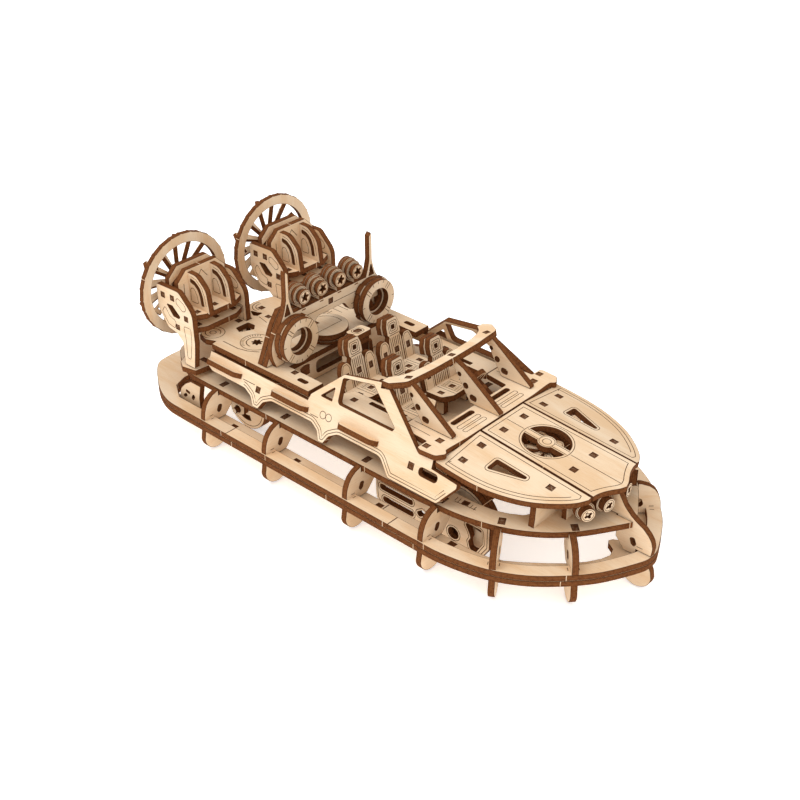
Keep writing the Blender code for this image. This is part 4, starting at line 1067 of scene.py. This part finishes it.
# %% Bonnet, outer plates
BONNET_EDGE = smooth([(168.5, 18.9), (165.6, 23.8), (160.4, 29.1), (152.6, 35.0), (145.0, 38.9),
                      (135.2, 42.1), (125.4, 43.7), (115.0, 44.1), (104.9, 43.9)], 5)
side_outline = np.concatenate([[(106.6, 15.8), (168.4, 17.0)], BONNET_EDGE,
                               [(104.1, 42.6), (104.6, 40.6), (106.0, 38.0)]])
VENT = fillet([(124.0, 25.0, 0.8), (140.6, 25.2, 0.7), (140.6, 26.6, 0.7), (124.0, 32.2, 0.8)])
inset_edge = offset(wound(side_outline), 3.9)
inset_edge = inset_edge[(inset_edge[:, 1] > 22.0) & (inset_edge[:, 0] > 108.6) & (inset_edge[:, 0] < 162.0)]
near_edge = offset(wound(side_outline), 2.1)
near_edge = near_edge[(near_edge[:, 1] > 20.0) & (near_edge[:, 0] > 108.4)]
near_line = np.concatenate([near_edge[::-1], [(164.6, 19.0), (108.4, 17.9)]])
side_marks = [groove(sloped(near_line, FALL), FINE, True), groove(sloped(inset_edge, FALL), FINE),
              groove(sloped(offset(wound(VENT), -1.25), FALL), FINE, True)]
side_ends = [sloped(box(x, y, 3.2, 2.8), FALL) for x, y in ((113.0, 35.0), (113.1, 22.5), (151.9, 23.5))]
for s, side in ((-1, "starboard"), (1, "port")):
    top, under = ((), side_marks) if s < 0 else (side_marks, ())
    plate = ply(sloped(side_outline, FALL), [sloped(VENT, FALL)], bonnet_place(s), PLY, top, under, side_ends)
    piece("bonnet_side_" + side, [plate])

# %% [markdown]
# ## Lift fan
# Under the grille sits a small fan: six petals on a hub, over a disc with narrow slots cut through it like
# the spokes of a wheel. The petals could be copied with an array round an empty, but each would then have
# the same grain. Made one by one they are plates of their own.

# %% Lift fan
FAN_AT = np.array([131.8, 0.0, 31.2])
PETAL_RISE = 2.3
PITCH = math.radians(12)
petal = fillet([(2.6, -1.4), (9.0, -2.7, 1.5), (10.6, 0, 1.5), (9.0, 2.7, 1.5), (2.6, 1.4)])
fan_slots = [box(8.3 * math.cos(math.radians(a)), 8.3 * math.sin(math.radians(a)), 3.2, 1.0, a)
             for a in range(0, 360, 18)]
fan = [drum(FAN_AT, UP, 3.8, 4.0, top=[ring(0, 0, 2.4)], pegs=[box(0, 0, 2.0, 2.0)]),
       drum((131.8, 0, 21.0), UP, 1.4, 13.0, n=20),
       drum((131.8, 0, 29.6), UP, 10.6, 1.4, fan_slots, 96)]
for i in range(6):
    a = math.radians(60 * i + 20)
    d = np.array([math.cos(a), math.sin(a), 0])
    w = np.array([-math.sin(a), math.cos(a), 0]) * math.cos(PITCH) + (0, 0, math.sin(PITCH))
    fan.append(ply(petal, [], plane(FAN_AT + (0, 0, PETAL_RISE), d, w), 1.4, [inlay(petal, 0.9, HAIR)]))
piece("lift_fan", fan)

# %% [markdown]
# ## Dashboard and windscreen
# The dashboard plate bridges the side panels behind the bonnet. Three slanted posts stand on it and carry
# the roof bar. The dashboard is even on both sides, so only its port half is written down. Its corners have
# radii, and these are mirrored with it before they are rounded off.

# %% Dashboard
DASH = [(106.0, 24, 3), (105.3, 35), (105.3, 37.9, 1), (106.9, 39.4, 1), (107.2, 40.6, 1), (104.6, 44.6, 3),
        (96.0, 45.2, 1.5), (94.3, 44.4, 0.8), (94.3, 38.3, 0.6), (78.0, 37.4, 2), (78.0, 24.0, 1),
        (91.0, 22.4, 1)]
dash_marks, dash_ends = [], []
for s in (1, -1):
    dash_marks += [groove(oblong(x, s * 13.6, 15.4, 2.2, 90), FINE, True) for x in (101.6, 98.2)]
    dash_marks += [line((79.6, s * 29.5), (99.4, s * 29.5)), line((79.6, s * 33.4), (92.6, s * 34.0))]
    dash_ends += [box(98.4, s * 34.0, 3.0, 3.0), box(96.6, s * 41.0, 2.8, 2.8)]
dash_holes = [oblong(94.0, s * 13.0, 15.0, 2.6, 90) for s in (1, -1)]
piece("dash_plate", [ply(both(DASH), dash_holes, level(39.9), 2.7, dash_marks, (), dash_ends)])

# %% [markdown]
# The posts are upright plates, and the middle one stands a little further ahead. The roof bar's slots show
# the burnt ends of their tenons. The bar could be bent along a curve, but it is cut in one flat piece, so
# it gets a tilted place, and its outline is an outer and an inner half, each mirrored.

# %% Windscreen frame
POST = fillet([(74.5, 59.5, 0.5), (77.2, 60.1, 1), (80.0, 58.4, 2), (101.8, 42.6, 0.6), (101.8, 41.55),
               (84.6, 41.55), (82.2, 45.0, 4), (79.0, 50.0, 8)])
POST_MID = fillet([(76.6, 59.9, 0.5), (79.0, 60.4, 1), (84.2, 58.2, 2), (106.0, 42.6, 0.6), (106.0, 41.55),
                   (88.8, 41.55), (86.4, 45.0, 4), (83.2, 50.0, 8)])
POSTS = [(-28.4, POST, 0.0), (0.0, POST_MID, 4.2), (28.4, POST, 0.0)]  # y, outline, how much further ahead
BAR = fillet([(65.6, 35.8), (70.6, 36.6, 1), (77.6, 31.8, 4), (79.3, 15.0, 30), (79.6, 0)])
BAR_IN = fillet([(73.5, 0), (73.3, 14.0, 30), (71.8, 23.6, 20), (69.2, 28.2, 6), (65.6, 31.4)])
BAR_X = 65
bar = np.concatenate([mirrored(BAR), mirrored(BAR_IN[::-1])[::-1]])
roof = plane((BAR_X, 0, 57.85), (1, 0, 0.2), PORT)
roof[3] = roof[3] - roof[0] * BAR_X
bar_ends = [box(76.4, 0, 3.0, 2.6)] + [box(74.6, s * 27.6, 3.0, 2.6, s * -18) for s in (1, -1)]
screen = [ply(bar, [], roof, PLY, (), (), bar_ends)]
for y, loop, dx in POSTS:
    holes = [circle(77.8 + dx, 54.4, 1.0, 20), circle(81.7 + dx, 49.7, 1.4, 24),
             fillet([(84.6 + dx, 46.4, 1.1), (88.4 + dx, 46.0, 1.1), (88.0 + dx, 43.4, 1),
                     (84.4 + dx, 43.6, 1.1)])]
    screen.append(ply(loop, holes, along(y)))
piece("windscreen_frame", screen)

# %% [markdown]
# ## Seats
# Four bucket seats stand in two rows. The headrest is the top of the leaning back plate, with one more ply
# behind it. A wing on each side lies in the same plane, a fifth of a millimetre away from the back, and the
# cushion has a rounded front and rests on two supports. Upholstery is only engraved: fine lines down the
# back and over the cushion. Cushions swollen by a modifier would be softer, but this is a seat of plates.

# %% Outlines and lines of a seat
BACK = both([(4.5, 0), (4.5, 22.4, 0.8), (3.7, 24.6, 0.3), (4.6, 25.8, 0.5), (4.6, 29.9, 1.2),
             (3.3, 33.7, 0.8)], 0)
WING = fillet([(4.72, 8.4), (11.7, 9.0), (11.9, 19.4, 4), (10.2, 23.9, 2.4), (6.4, 23.9, 2), (4.72, 21.2, 1.5)])
HEAD = both([(5.6, 25.9, 0.5), (5.6, 30.2, 1.2), (4.0, 33.9, 0.8)], 0)
CUSHION = fillet([(-0.9, -11.8), (8.8, -11.8, 2.5), (12.2, -6.6, 3), (12.2, 6.6, 3), (8.8, 11.8, 2.5),
                  (-0.9, 11.8)])
SEAT_SIDE = fillet([(-3.2, 23.8), (9.0, 23.8, 1), (9.0, 30.8), (-2.0, 30.8)])
HEADREST_V = 29.1
back_lines = []
for u in (-3.1, -1.86, -0.62, 0.62, 1.86, 3.1):
    ends = ((10.6, 15.2), (19.2, 24.0)) if abs(u) < 2 else ((10.6, 24.0),)
    back_lines += [line((u, a), (u, b), width=0.42) for a, b in ends]
back_lines.append(line((-3.3, 25.2), (3.3, 25.2), width=FINE))
back_lines += [groove(box(0, HEADREST_V, w, w, 0, 0.9), FINE, True) for w in (3.9, 5.9)]
seat_lines = []
for v in (-2.75, -1.65, -0.55, 0.55, 1.65, 2.75):
    seat_lines.append(line((0.9, v), (3.4 if abs(v) < 2 else 11.4, v), width=HAIR))
seat_lines += [line((7.6, v), (11.4, v), width=HAIR) for v in (-1.65, -0.55, 0.55, 1.65)]
seat_lines += [line((0.2, v), (11.6, v), width=HAIR) for v in (-4.6, 4.6)]
print("upholstery:", len(back_lines), "lines on a back,", len(seat_lines), "on a cushion")

# %% [markdown]
# A seat is seven plates, placed about its own foot. It could be built once and copied as an object, but
# then all four would show the same grain. So one function makes a seat, and it is called four times.

# %% Four seats
BACK_LEAN = 0.245
HEAD_GAP = 3.02
cushion_ends = [box(5.5, 0, 2.7, 2.7), box(5.5, -8.2, 3.0, 2.2), box(5.5, 8.2, 3.0, 2.2)]


def seat(x, y):
    """Back with its headrest, two wings, a ply behind the headrest, cushion and two supports."""
    back = plane((x + 0.2, y, 23.8), PORT, (-BACK_LEAN, 0, 1))
    head_hole = box(0, HEADREST_V, 2.1, 2.1, 0, 0.3)
    plates = [ply(BACK, [head_hole], back, PLY, back_lines, (), [box(0, 17.2, 2.7, 2.7)])]
    for s in (-1, 1):
        outline = WING if s > 0 else flipped(WING, 0)
        wing_end = box(s * 8.2, 16.8, 2.2, 3.0)
        plates.append(ply(outline, [], back, PLY, [inlay(outline, 1.0, HAIR)], (), [wing_end]))
    head = back.copy()
    head[3] = back[3] - back[2] * HEAD_GAP
    plates.append(ply(HEAD, [], head))
    cushion = plane((x, y, 32.4), (1, 0, 0.06), PORT)
    plates.append(ply(CUSHION, [], cushion, PLY, seat_lines, (), cushion_ends))
    for s in (-1, 1):
        support = along(y + s * 8.5)
        support[3] = support[3] + (x, 0, 0)
        plates.append(ply(SEAT_SIDE, [], support))
    return plates


for row, x in (("front", 60.1), ("rear", 32.1)):
    for s, side in ((-1, "starboard"), (1, "port")):
        piece("seat_" + row + "_" + side, seat(x, s * 13.5))

# %% [markdown]
# ## Console, round stack and steering wheel
# A pillar with a small table stands between the rows. Behind it lies a stack of round plies, the upper one
# with a square slot and an engraved outline. The steering wheel is one ply with three curved openings on a
# round column. A torus would make a rounder rim, but the real one is cut from the sheet like all the rest.

# %% Console, round stack and steering wheel
TABLE = fillet([(12.2, -5.6, 1.8), (20.2, -5.6, 1.8), (20.2, 5.6, 1.8), (12.2, 5.6, 1.8)])
CHEEK = fillet([(11.6, 24), (19.8, 24), (19.8, 38, 3), (18.9, 45, 1), (13.2, 45, 1), (11.6, 38, 3)])
TABLE_TILT = (1, 0, 0.08)
table_hole = box(16.0, -0.4, 3.4, 4.0, 0, 1.1)
table_top, table_base = (plane((0.5, 0, z), TABLE_TILT, PORT) for z in (49.2, 45.8))
console = [ply(TABLE, [], table_top, PLY, [border(table_hole, 1.0)], (), [table_hole]),
           ply(scaled(TABLE, 0.86, (16.2, 0)), [], table_base, 2.6),
           block(13.4, 19.0, -4.4, 4.4, 23.8, 45.6)]
console += [ply(CHEEK, [], along(s * 5.9), 2.4) for s in (-1, 1)]
piece("console", console)
STACK_X = -6.4
UNDER_DISCS = [(43.4, 9.4, 1.2), (42.2, 8.6, 1.2), (41.0, 9.4, 1.2)]  # z, radius, thickness
round_marks = [groove(arc(0, 0, 8.9, 70, 290), STROKE, True), groove(arc(0, 0, 10.4, 150, 250), HAIR)]
stack = [drum((STACK_X, 0, 45.4), UP, 11.6, 2.8, (), 96, round_marks, (), [box(-4.8, -2.2, 2.8, 2.4)])]
stack += [drum((STACK_X, 0, z), UP, r, t, n=72) for z, r, t in UNDER_DISCS]
piece("round_stack", stack)
wheel_axis = np.array([-0.86, 0, 0.5]) / math.hypot(0.86, 0.5)
hub = np.array([80.0, 13.5, 44.5])
spokes = [np.concatenate([arc(0, 0, 3.9, a + 14, a + 106), arc(0, 0, 1.9, a + 98, a + 22)])
          for a in (30, 150, 270)]
piece("steering_wheel", [drum(hub, wheel_axis, 5.4, 2.4, spokes),
                         drum(hub - wheel_axis * 5.9, wheel_axis, 1.3, 11.4, n=16)])

# %% [markdown]
# ## Light arch
# Three upright plies stand across the deck. The front one is a flat portal with two masts, and a slot
# through the root of each; the two behind it are plain portals that brace it. Four searchlights stand on
# their beams and two life rings hang on the front. Each portal is half an outline, mirrored, so that both
# legs are alike.

# %% Light arch
FRONT_LEG = smooth([(38.0, 40.3), (40.2, 46.0), (40.4, 52.0), (38.0, 58.0), (34.4, 62.3), (31.6, 67.0),
                    (29.8, 73.5)], 4)
MAST = [(29.7, 86.8), (29.3, 88.3), (27.8, 86.6), (27.8, 74.0), (26.6, 69.0), (25.2, 65.2)]
BACK_LEG = smooth([(41.6, 40.3), (37.8, 48.5), (33.4, 58.2), (28.6, 65.2)], 4)
FRONT_IN = [(32.6, 40.3), (34.4, 46.0), (33.8, 51.5), (14.0, 51.5), (12.8, 52.2), (9.6, 56.4), (8.2, 57.0)]
BACK_IN = [(36.0, 40.3), (29.6, 54.6), (26.4, 57.6)]
ARCHES = [  # name, centre x, outer half outline, lower half outline from the leg's foot inwards
    ("front", -3.6, np.concatenate([FRONT_LEG, MAST]), FRONT_IN),
    ("mid", -6.9, BACK_LEG, BACK_IN),
    ("rear", -10.2, BACK_LEG, BACK_IN),
]
for name, x, outer, inner in ARCHES:
    loop = np.concatenate([outer, flipped(outer[::-1], 0), flipped(inner, 0), inner[::-1]])
    holes, marks, ends = [], [], []
    if name == "front":
        holes = [fillet([(s * 31.1, 65.0, 0.3), (s * 29.0, 71.8, 0.3), (s * 27.3, 65.2, 0.3)]) for s in (1, -1)]
        marks = [line((-22.0, 60.2), (-2.4, 60.2)), line((2.4, 60.2), (22.0, 60.2)),
                 line((-26.0, 54.4), (-14.4, 54.4)), line((14.4, 54.4), (26.0, 54.4))]
        marks += [line((s * 35.6, 46.0), (s * 37.4, 52.0), (s * 35.8, 57.4)) for s in (1, -1)]
        ends = [box(0, 61.8, 2.8, 2.8)]
    piece("arch_" + name + "_ply", [ply(loop, holes, across(x), PLY, marks, (), ends)])

# %% [markdown]
# A searchlight is a row of discs on one square peg: four broad ones and a narrow one between them, then a
# hollow ring, and in front a disc with a star-shaped hole in which the peg's burnt end stands. A turned
# shape could be made with one screw modifier, but the steps of the plies, each with its burnt rim, are what
# one sees.

# %% Searchlights
LIGHT_Z = 71.2
LIGHT_DISCS = [  # x, radius, thickness
    (-9.7, 5.4, 1.2), (-8.5, 5.0, 1.1), (-7.45, 5.5, 1.0), (-5.55, 3.6, 2.9), (-4.7, 4.9, 1.2),
]
LIGHT_FOOT = fillet([(-9.8, 63.9), (-2.0, 63.9), (-2.6, 67.4), (-9.2, 67.4)])
for k, y in enumerate((-18.3, -6.2, 6.2, 18.3)):
    star = toothed(0, 0, 2.4, 1.35, 5, 20 + 31 * k)
    lamp = [drum((x, y, LIGHT_Z), AHEAD, r, t, top=[ring(0, 0, r - 0.7, HAIR)]) for x, r, t in LIGHT_DISCS]
    lamp.append(drum((-2.9, y, LIGHT_Z), AHEAD, 3.0, 2.4, [circle(0, 0, 2.4, 32)]))
    lamp.append(drum((-1.75, y, LIGHT_Z), AHEAD, 3.8, 1.5, [star], top=[ring(0, 0, 3.15, HAIR)]))
    lamp.append(ply(box(0, 0, 1.2, 1.2, 45), [], plane((-3.3, y, LIGHT_Z), DOWN, PORT), 1.8))
    lamp.append(ply(LIGHT_FOOT, [], along(y), 2.6))
    piece("searchlight_" + str(k + 1), lamp)

# %% [markdown]
# A life ring is two flat rings. The front one has its ropes engraved, the one behind has four low tabs that
# look out as the ropes' lashings. The tabs could be separate blocks, but they are cut in one with the ring,
# so the outline's radius grows there.

# %% Life rings
def tabbed(r, rise, count, half, turn=0.0, n=144):
    """Circle of radius r with raised tabs: the radius grows by rise over half degrees each side of a tab."""
    t = np.linspace(0, 2 * np.pi, n, endpoint=False)
    away = np.abs((np.degrees(t) - turn + 180 / count) % (360 / count) - 180 / count)
    radius = r + rise * np.clip((half - away) / 1.5, 0, 1)
    return np.stack([radius * np.cos(t), radius * np.sin(t)], 1)


RING_AT = (27.2, 53.0)  # y, z
rope = []
for a in (45, 135, 225, 315):
    d = np.array([math.cos(math.radians(a)), math.sin(math.radians(a))])
    n = np.array([-d[1], d[0]])
    rope += [groove([d * 7.6 + n * v, d * 11.4 + n * v], FINE) for v in (-0.8, 0.8)]
rope += rays(0, 0, 9.8, 11.4, (0, 20, 90, 160, 180, 200, 270, 340), FINE)
for s, side in ((-1, "starboard"), (1, "port")):
    face, back = (plane((x, s * RING_AT[0], RING_AT[1]), DOWN, PORT) for x in (3.2, -0.1))
    piece("life_ring_" + side, [ply(circle(0, 0, 11.7, 96), [circle(0, 0, 7.0, 64)], face, 3.1, rope),
                                ply(tabbed(11.8, 0.7, 4, 15, 45), [circle(0, 0, 6.0, 64)], back, 3.1)])

# %% [markdown]
# ## Fan nacelles
# Each rear fan hangs in a box of plates: two sides, a wall with the shaft in it, two fins with a curved
# slot, and two trays. One could model the box once and mirror it, but a mirror turns the grain and the fans
# over as well. So the outlines are written once, about the nacelle's own middle, and both nacelles are cut
# from them.

# %% Outlines of the nacelles
FAN_Y = 31.3
FAN_Z = 58.2
SIDE_PLATE = fillet([(-75.0, 65.6, 1), (-58.0, 66.2, 4), (-48.6, 57.0, 8), (-48.2, 40.0, 20), (-50.2, 25.6),
                     (-57.4, 25.6), (-57.6, 38.0, 1), (-61.6, 41.6, 2), (-68.4, 42.8, 3), (-75.0, 52.0, 1)])
SIDE_ENDS = [box(-70.4, 60.6, 2.8, 2.8), box(-63.2, 61.0, 2.8, 2.8), box(-53.6, 52.6, 2.8, 2.8),
             box(-60.8, 45.6, 2.8, 2.8)]
SIDE_HOLE = fillet([(-68.0, 56.4, 0.4), (-63.6, 56.6, 0.4), (-58.2, 52.2, 0.4), (-59.2, 50.8, 0.4),
                    (-63.4, 50.9, 0.4)])
SIDE_PANES = [
    [(-60.2, 63.0, 1.5), (-54.6, 60.6, 3), (-51.4, 56.8, 2), (-56.0, 56.2, 1), (-60.2, 59.0, 1)],
    [(-69.6, 54.6, 1), (-66.4, 50.0, 1.5), (-61.6, 48.4, 1.5), (-63.0, 44.2, 1), (-68.0, 45.2, 2),
     (-72.0, 51.0, 1.5)],
    [(-56.0, 47.8, 1), (-50.6, 48.0, 1), (-50.8, 40.0, 2), (-52.6, 30.0, 1), (-55.2, 30.0, 1),
     (-55.0, 40.0, 3)],
]
side_lines = [groove(fillet(pane), FINE, True) for pane in SIDE_PANES]
FIN = fillet([(-62.6, 53.4), (-62.6, 72.2, 0.6), (-55.4, 72.0, 6), (-48.8, 66.0, 7), (-47.0, 53.4)])
FIN_SLOT = fillet([(-60.2, 69.2, 0.6), (-56.6, 68.6, 3), (-53.4, 66.0, 4), (-51.7, 62.0, 6), (-51.0, 56.6, 0.4),
                   (-52.9, 56.5, 0.4), (-53.6, 61.2, 6), (-55.0, 64.5, 4), (-57.2, 66.4, 3),
                   (-60.2, 67.2, 0.6)])
FIN_PANE = fillet([(-60.6, 56.4, 1), (-60.6, 64.6, 2), (-57.6, 64.2, 2), (-55.8, 60.6, 3), (-55.2, 56.6, 1)])
FIN_LINE = [(-59.6, 70.6), (-55.8, 69.9), (-52.0, 66.8), (-50.2, 62.4), (-49.5, 57.0)]
fin_lines = [groove(FIN_PANE, FINE, True), groove(FIN_LINE, HAIR)]
CHEVRON = [(-15.3, 68.4), (-9.8, 73.6), (9.8, 73.6), (15.3, 68.4), (15.3, 64.0), (7.0, 69.4), (-7.0, 69.4),
           (-15.3, 64.0)]
BAY = [(-15.3, 44.0), (-15.3, 68.2), (-9.8, 73.6), (9.8, 73.6), (15.3, 68.2), (15.3, 44.0)]
TRAY = [(-62.6, -15.3), (-51.0, -15.3), (-48.4, -9.5), (-48.2, 9.5), (-51.0, 15.3), (-62.6, 15.3)]
print("nacelle side:", len(SIDE_PLATE), "points,", len(side_lines), "engraved panes")

# %% [markdown]
# Behind the wall turns a wheel of slats round a hub, inside a broad ring with a fine rope of tabs. Every
# other slat is short, and each is turned by the same pitch. In the photograph the fans stand still, a
# little turned against each other, so each has an angle of its own for its first slat.

# %% Nacelles, fan rings and propellers
BLADES = 14
BLADE_X = -81.0
BLADE_PITCH = math.radians(50)
NACELLES = [(-1, "starboard", 142.0), (1, "port", 104.7)]  # side, name, angle of the first slat


def propeller(cy, first):
    """Hub, shaft and slats about the middle of a nacelle, the first slat at an angle in degrees."""
    centre = np.array([BLADE_X, cy, FAN_Z])
    plates = [drum(centre, AHEAD, 5.0, 6.6, top=[ring(0, 0, 3.4)]),
              drum((-70.0, cy, FAN_Z), AHEAD, 1.5, 20.0, n=20)]
    for i in range(BLADES):
        a = math.radians(first + 360.0 * i / BLADES)
        d = np.array([0, math.cos(a), math.sin(a)])
        w = np.array([math.sin(BLADE_PITCH), -math.sin(a) * math.cos(BLADE_PITCH),
                      math.cos(a) * math.cos(BLADE_PITCH)])
        r = 20.8 if i % 2 else 25.0
        slat = fillet([(4.2, -0.9), (r, -2.3, 0.6), (r, 2.3, 0.6), (4.2, 0.9)])
        holes = [box(17.6, 0.2, 1.7, 1.5)] if i % 3 == 0 else []
        plates.append(ply(slat, holes, plane(centre, d, w), 2.2))
    return plates


for s, side, first in NACELLES:
    cy = s * FAN_Y
    for o, where in ((-17.2, "left"), (17.2, "right")):
        plate = ply(SIDE_PLATE, [SIDE_HOLE], along(cy + o), PLY, side_lines, side_lines, SIDE_ENDS)
        piece("nacelle_side_" + side + "_" + where, [plate])
    wall_lines = [line((cy - 3.6, 66.0), (cy, 70.6), (cy + 3.6, 66.0)),
                  line((cy - 11.6, 66.6), (cy - 11.6, 56.0)), line((cy + 11.6, 66.6), (cy + 11.6, 56.0))]
    bay = [ply([(cy + a, b) for a, b in BAY], [circle(cy, FAN_Z, 1.9, 20)], across(-63.3), 2.9, wall_lines)]
    bay += [ply(FIN, [FIN_SLOT], along(cy + o), PLY, fin_lines, fin_lines) for o in (-7.2, 7.2)]
    tray_ends = [box(-53.4, cy + o, 2.8, 2.4) for o in (-11.4, 0.0, 11.4)]
    bay += [ply([(a, cy + b) for a, b in TRAY], [], level(z), 2.9, (), (), tray_ends) for z in (52.6, 45.6)]
    piece("nacelle_bay_" + side, bay)
    piece("nacelle_brace_" + side, [ply([(cy + a, b) for a, b in CHEVRON], [], across(-70.4))])
    fan_ring = tabbed(27.2, 0.3, 28, 2.0, 0.0, 336)
    at_fan = plane((-76.8, cy, FAN_Z), DOWN, PORT)
    piece("fan_ring_" + side, [ply(fan_ring, [circle(0, 0, 22.0, 128)], at_fan, 2.8)])
    piece("propeller_" + side, propeller(cy, first))

# %% [markdown]
# ## Stern platform
# The nacelles stand on a plate over the stern, and it lies on two blocks. Four burnt tenon ends show in it.
# They could be painted on as squares, but here as everywhere they are small plates sunk in their slots.

# %% Stern platform
PLATFORM = [(-79.0, 30.0), (-66.0, 42.0), (-62.0, 49.6), (-57.4, 52.4), (-49.2, 50.6), (-47.6, 40.0)]
platform_ends = [box(-53.8, s * FAN_Y + o, 5.0, 2.8) for s in (-1, 1) for o in (-9.0, 9.0)]
platform = [ply(mirrored(PLATFORM), [], level(23.6), 2.9, (), (), platform_ends)]
platform += [block(-72, -50, s * 36.0 - 3, s * 36.0 + 3, 20.3, 22.8) for s in (-1, 1)]
piece("stern_platform", platform)

# %% [markdown]
# ## Bow lamps
# Four lamps look out under the bonnet's nose, each a flange and a smaller disc with a star-shaped hole on a
# stem. They are the searchlights' small relatives, so they are stacked from discs in the same way and
# turned outwards by their heading.

# %% Bow lamps
LAMPS = [  # name, x, y, z, heading, length of the stem
    ("outer", 168.6, 18.7, 27.0, 30.0, 3.6),
    ("inner", 171.6, 7.6, 27.6, 12.0, 6.5),
]
for s, side in ((-1, "starboard"), (1, "port")):
    for name, x, y, z, turn, stem in LAMPS:
        d = np.array([math.cos(math.radians(turn)), s * math.sin(math.radians(turn)), 0])
        c = np.array([x, s * y, z])
        star = toothed(0, 0, 1.7, 1.0, 4, 20)
        lamp = [drum(c - d * 4.8, d, 4.6, 3.0, n=56, top=[ring(0, 0, 4.0, HAIR)]),
                drum(c - d * 1.8, d, 3.4, 3.6, [star], 40, [ring(0, 0, 2.6, HAIR)]),
                drum(c - d * (6.1 + stem / 2), d, 3.0, stem)]
        u = np.cross(PORT, d)
        lamp.append(ply(box(0, 0, 1.5, 1.5, 45), [], plane(c - d * 2.6, u, np.cross(d, u)), 3.8))
        piece("bow_lamp_" + name + "_" + side, lamp)

# %% [markdown]
# ## Rolling wheels
# The front pair stands in the wells and shows under the bonnet. A wheel could be one thick disc, but the
# seam between its plies runs round the rim, so it is cut twice.

# %% Wheels and axles
WHEELS = [  # name, x and z of the axle, radius, y of a wheel's middle, its width, length of the axle
    ("front", 110.8, 4.2, 17.6, 29.4, 6.4, 66.0),
    ("rear", -36.6, 0.5, 13.9, 27.0, 5.8, 76.0),
]
AXLE = 1.6


def crescent(r0, r1, a0, a1):
    """Curved slot between two radii and two angles."""
    return np.concatenate([arc(0, 0, r1, a0, a1), arc(0, 0, r0, a1, a0)])


for end, x, z, r, wheel_y, width, length in WHEELS:
    wheels = [drum((x, 0, z), PORT, AXLE, length, n=24)]
    slots = [crescent(r * 0.46, r * 0.66, a, a + 62) for a in (10, 130, 250)]
    lines = [ring(0, 0, r - 1.6, FINE, 80), ring(0, 0, 3.6)]
    for s in (-1, 1):
        for k in (-0.25, 0.25):
            middle = (x, s * wheel_y + k * width, z)
            wheels.append(drum(middle, PORT, r, width / 2 - 0.02, slots, 96, lines, lines))
    piece("wheels_" + end, wheels)

# %% [markdown]
# ## Studio
# The photograph is a product shot on white, with a floor that is almost as white as the paper round it. A
# plain white floor would look grey away from the lamps. So the floor shines a little itself, as paper does
# when it is overexposed, and still takes the soft shadow under the model.

# %% Floor
FLOOR_HALF = 6
floor_mesh = bpy.data.meshes.new("floor")
corners = [(x * FLOOR_HALF, y * FLOOR_HALF, 0) for x, y in ((-1, -1), (1, -1), (1, 1), (-1, 1))]
floor_mesh.from_pydata(corners, [], [(0, 1, 2, 3)])
floor = bpy.data.objects.new("floor", floor_mesh)
bpy.context.scene.collection.objects.link(floor)
paper = bpy.data.materials.new("paper_floor")
paper.use_nodes = True
paper_inputs = paper.node_tree.nodes["Principled BSDF"].inputs
paper_inputs["Base Color"].default_value = (0.96, 0.96, 0.96, 1)
paper_inputs["Roughness"].default_value = 0.9
paper_inputs["Emission Color"].default_value = (1, 1, 1, 1)
paper_inputs["Emission Strength"].default_value = 0.5
floor_mesh.materials.append(paper)
print("floor:", 2 * FLOOR_HALF, "m wide")

# %% [markdown]
# The light is broad and soft, from above and a little to the left, and there is hardly any shadow. A bare
# white world would give no shading at all, and one small lamp hard shadows. So a bright world fills the
# shadows, and two large softboxes shape the plates.

# %% Lights
MODEL_MIDDLE = (0, 0, 0.03)
SOFTBOX_SIZE = 0.6


def softbox(name, place, watts):
    """Square area light that looks at the middle of the model."""
    lamp = bpy.data.lights.new(name, "AREA")
    lamp.shape = "SQUARE"
    lamp.size = SOFTBOX_SIZE
    lamp.energy = watts
    obj = bpy.data.objects.new(name, lamp)
    obj.location = place
    obj.rotation_mode = "QUATERNION"
    obj.rotation_quaternion = (Vector(MODEL_MIDDLE) - Vector(place)).to_track_quat("-Z", "Y")
    bpy.context.scene.collection.objects.link(obj)
    return obj


lights = [softbox("key_softbox", (-0.25, -0.35, 0.9), 4.0), softbox("side_softbox", (0.9, -0.2, 0.5), 1.4)]
world = bpy.data.worlds.new("studio")
world.use_nodes = True
world.node_tree.nodes["Background"].inputs["Color"].default_value = (1, 1, 1, 1)
world.node_tree.nodes["Background"].inputs["Strength"].default_value = 0.93
bpy.context.scene.world = world
bpy.context.scene.view_settings.view_transform = "Standard"
print("lights in W:", [(light.name, round(light.data.energy, 2)) for light in lights])

# %% [markdown]
# ## Camera
# The camera stands off the starboard bow, above the model. Its place could be found by trial, but it was
# worked out from points of the hull rings and upright plates whose real places are known, so plates line up
# with those in the photograph.

# %% Camera
CAMERA_AT = (0.36115, -0.4028, 0.3802)
LOOKS_AT = (-0.00335, 0, 0.03677)
camera = bpy.data.cameras.new("camera")
camera.lens = 59.22
camera.sensor_width = 36.0
camera.clip_start = 0.01
viewer = bpy.data.objects.new("camera", camera)
viewer.location = CAMERA_AT
viewer.rotation_mode = "QUATERNION"
viewer.rotation_quaternion = (Vector(LOOKS_AT) - viewer.location).to_track_quat("-Z", "Y")
bpy.context.scene.collection.objects.link(viewer)
bpy.context.scene.camera = viewer
print("plates and tenon ends:", plates_made[0], "pieces:", len(pieces))
print("triangles:", sum(len(p.vertices) - 2 for o in pieces.values() for p in o.data.polygons))
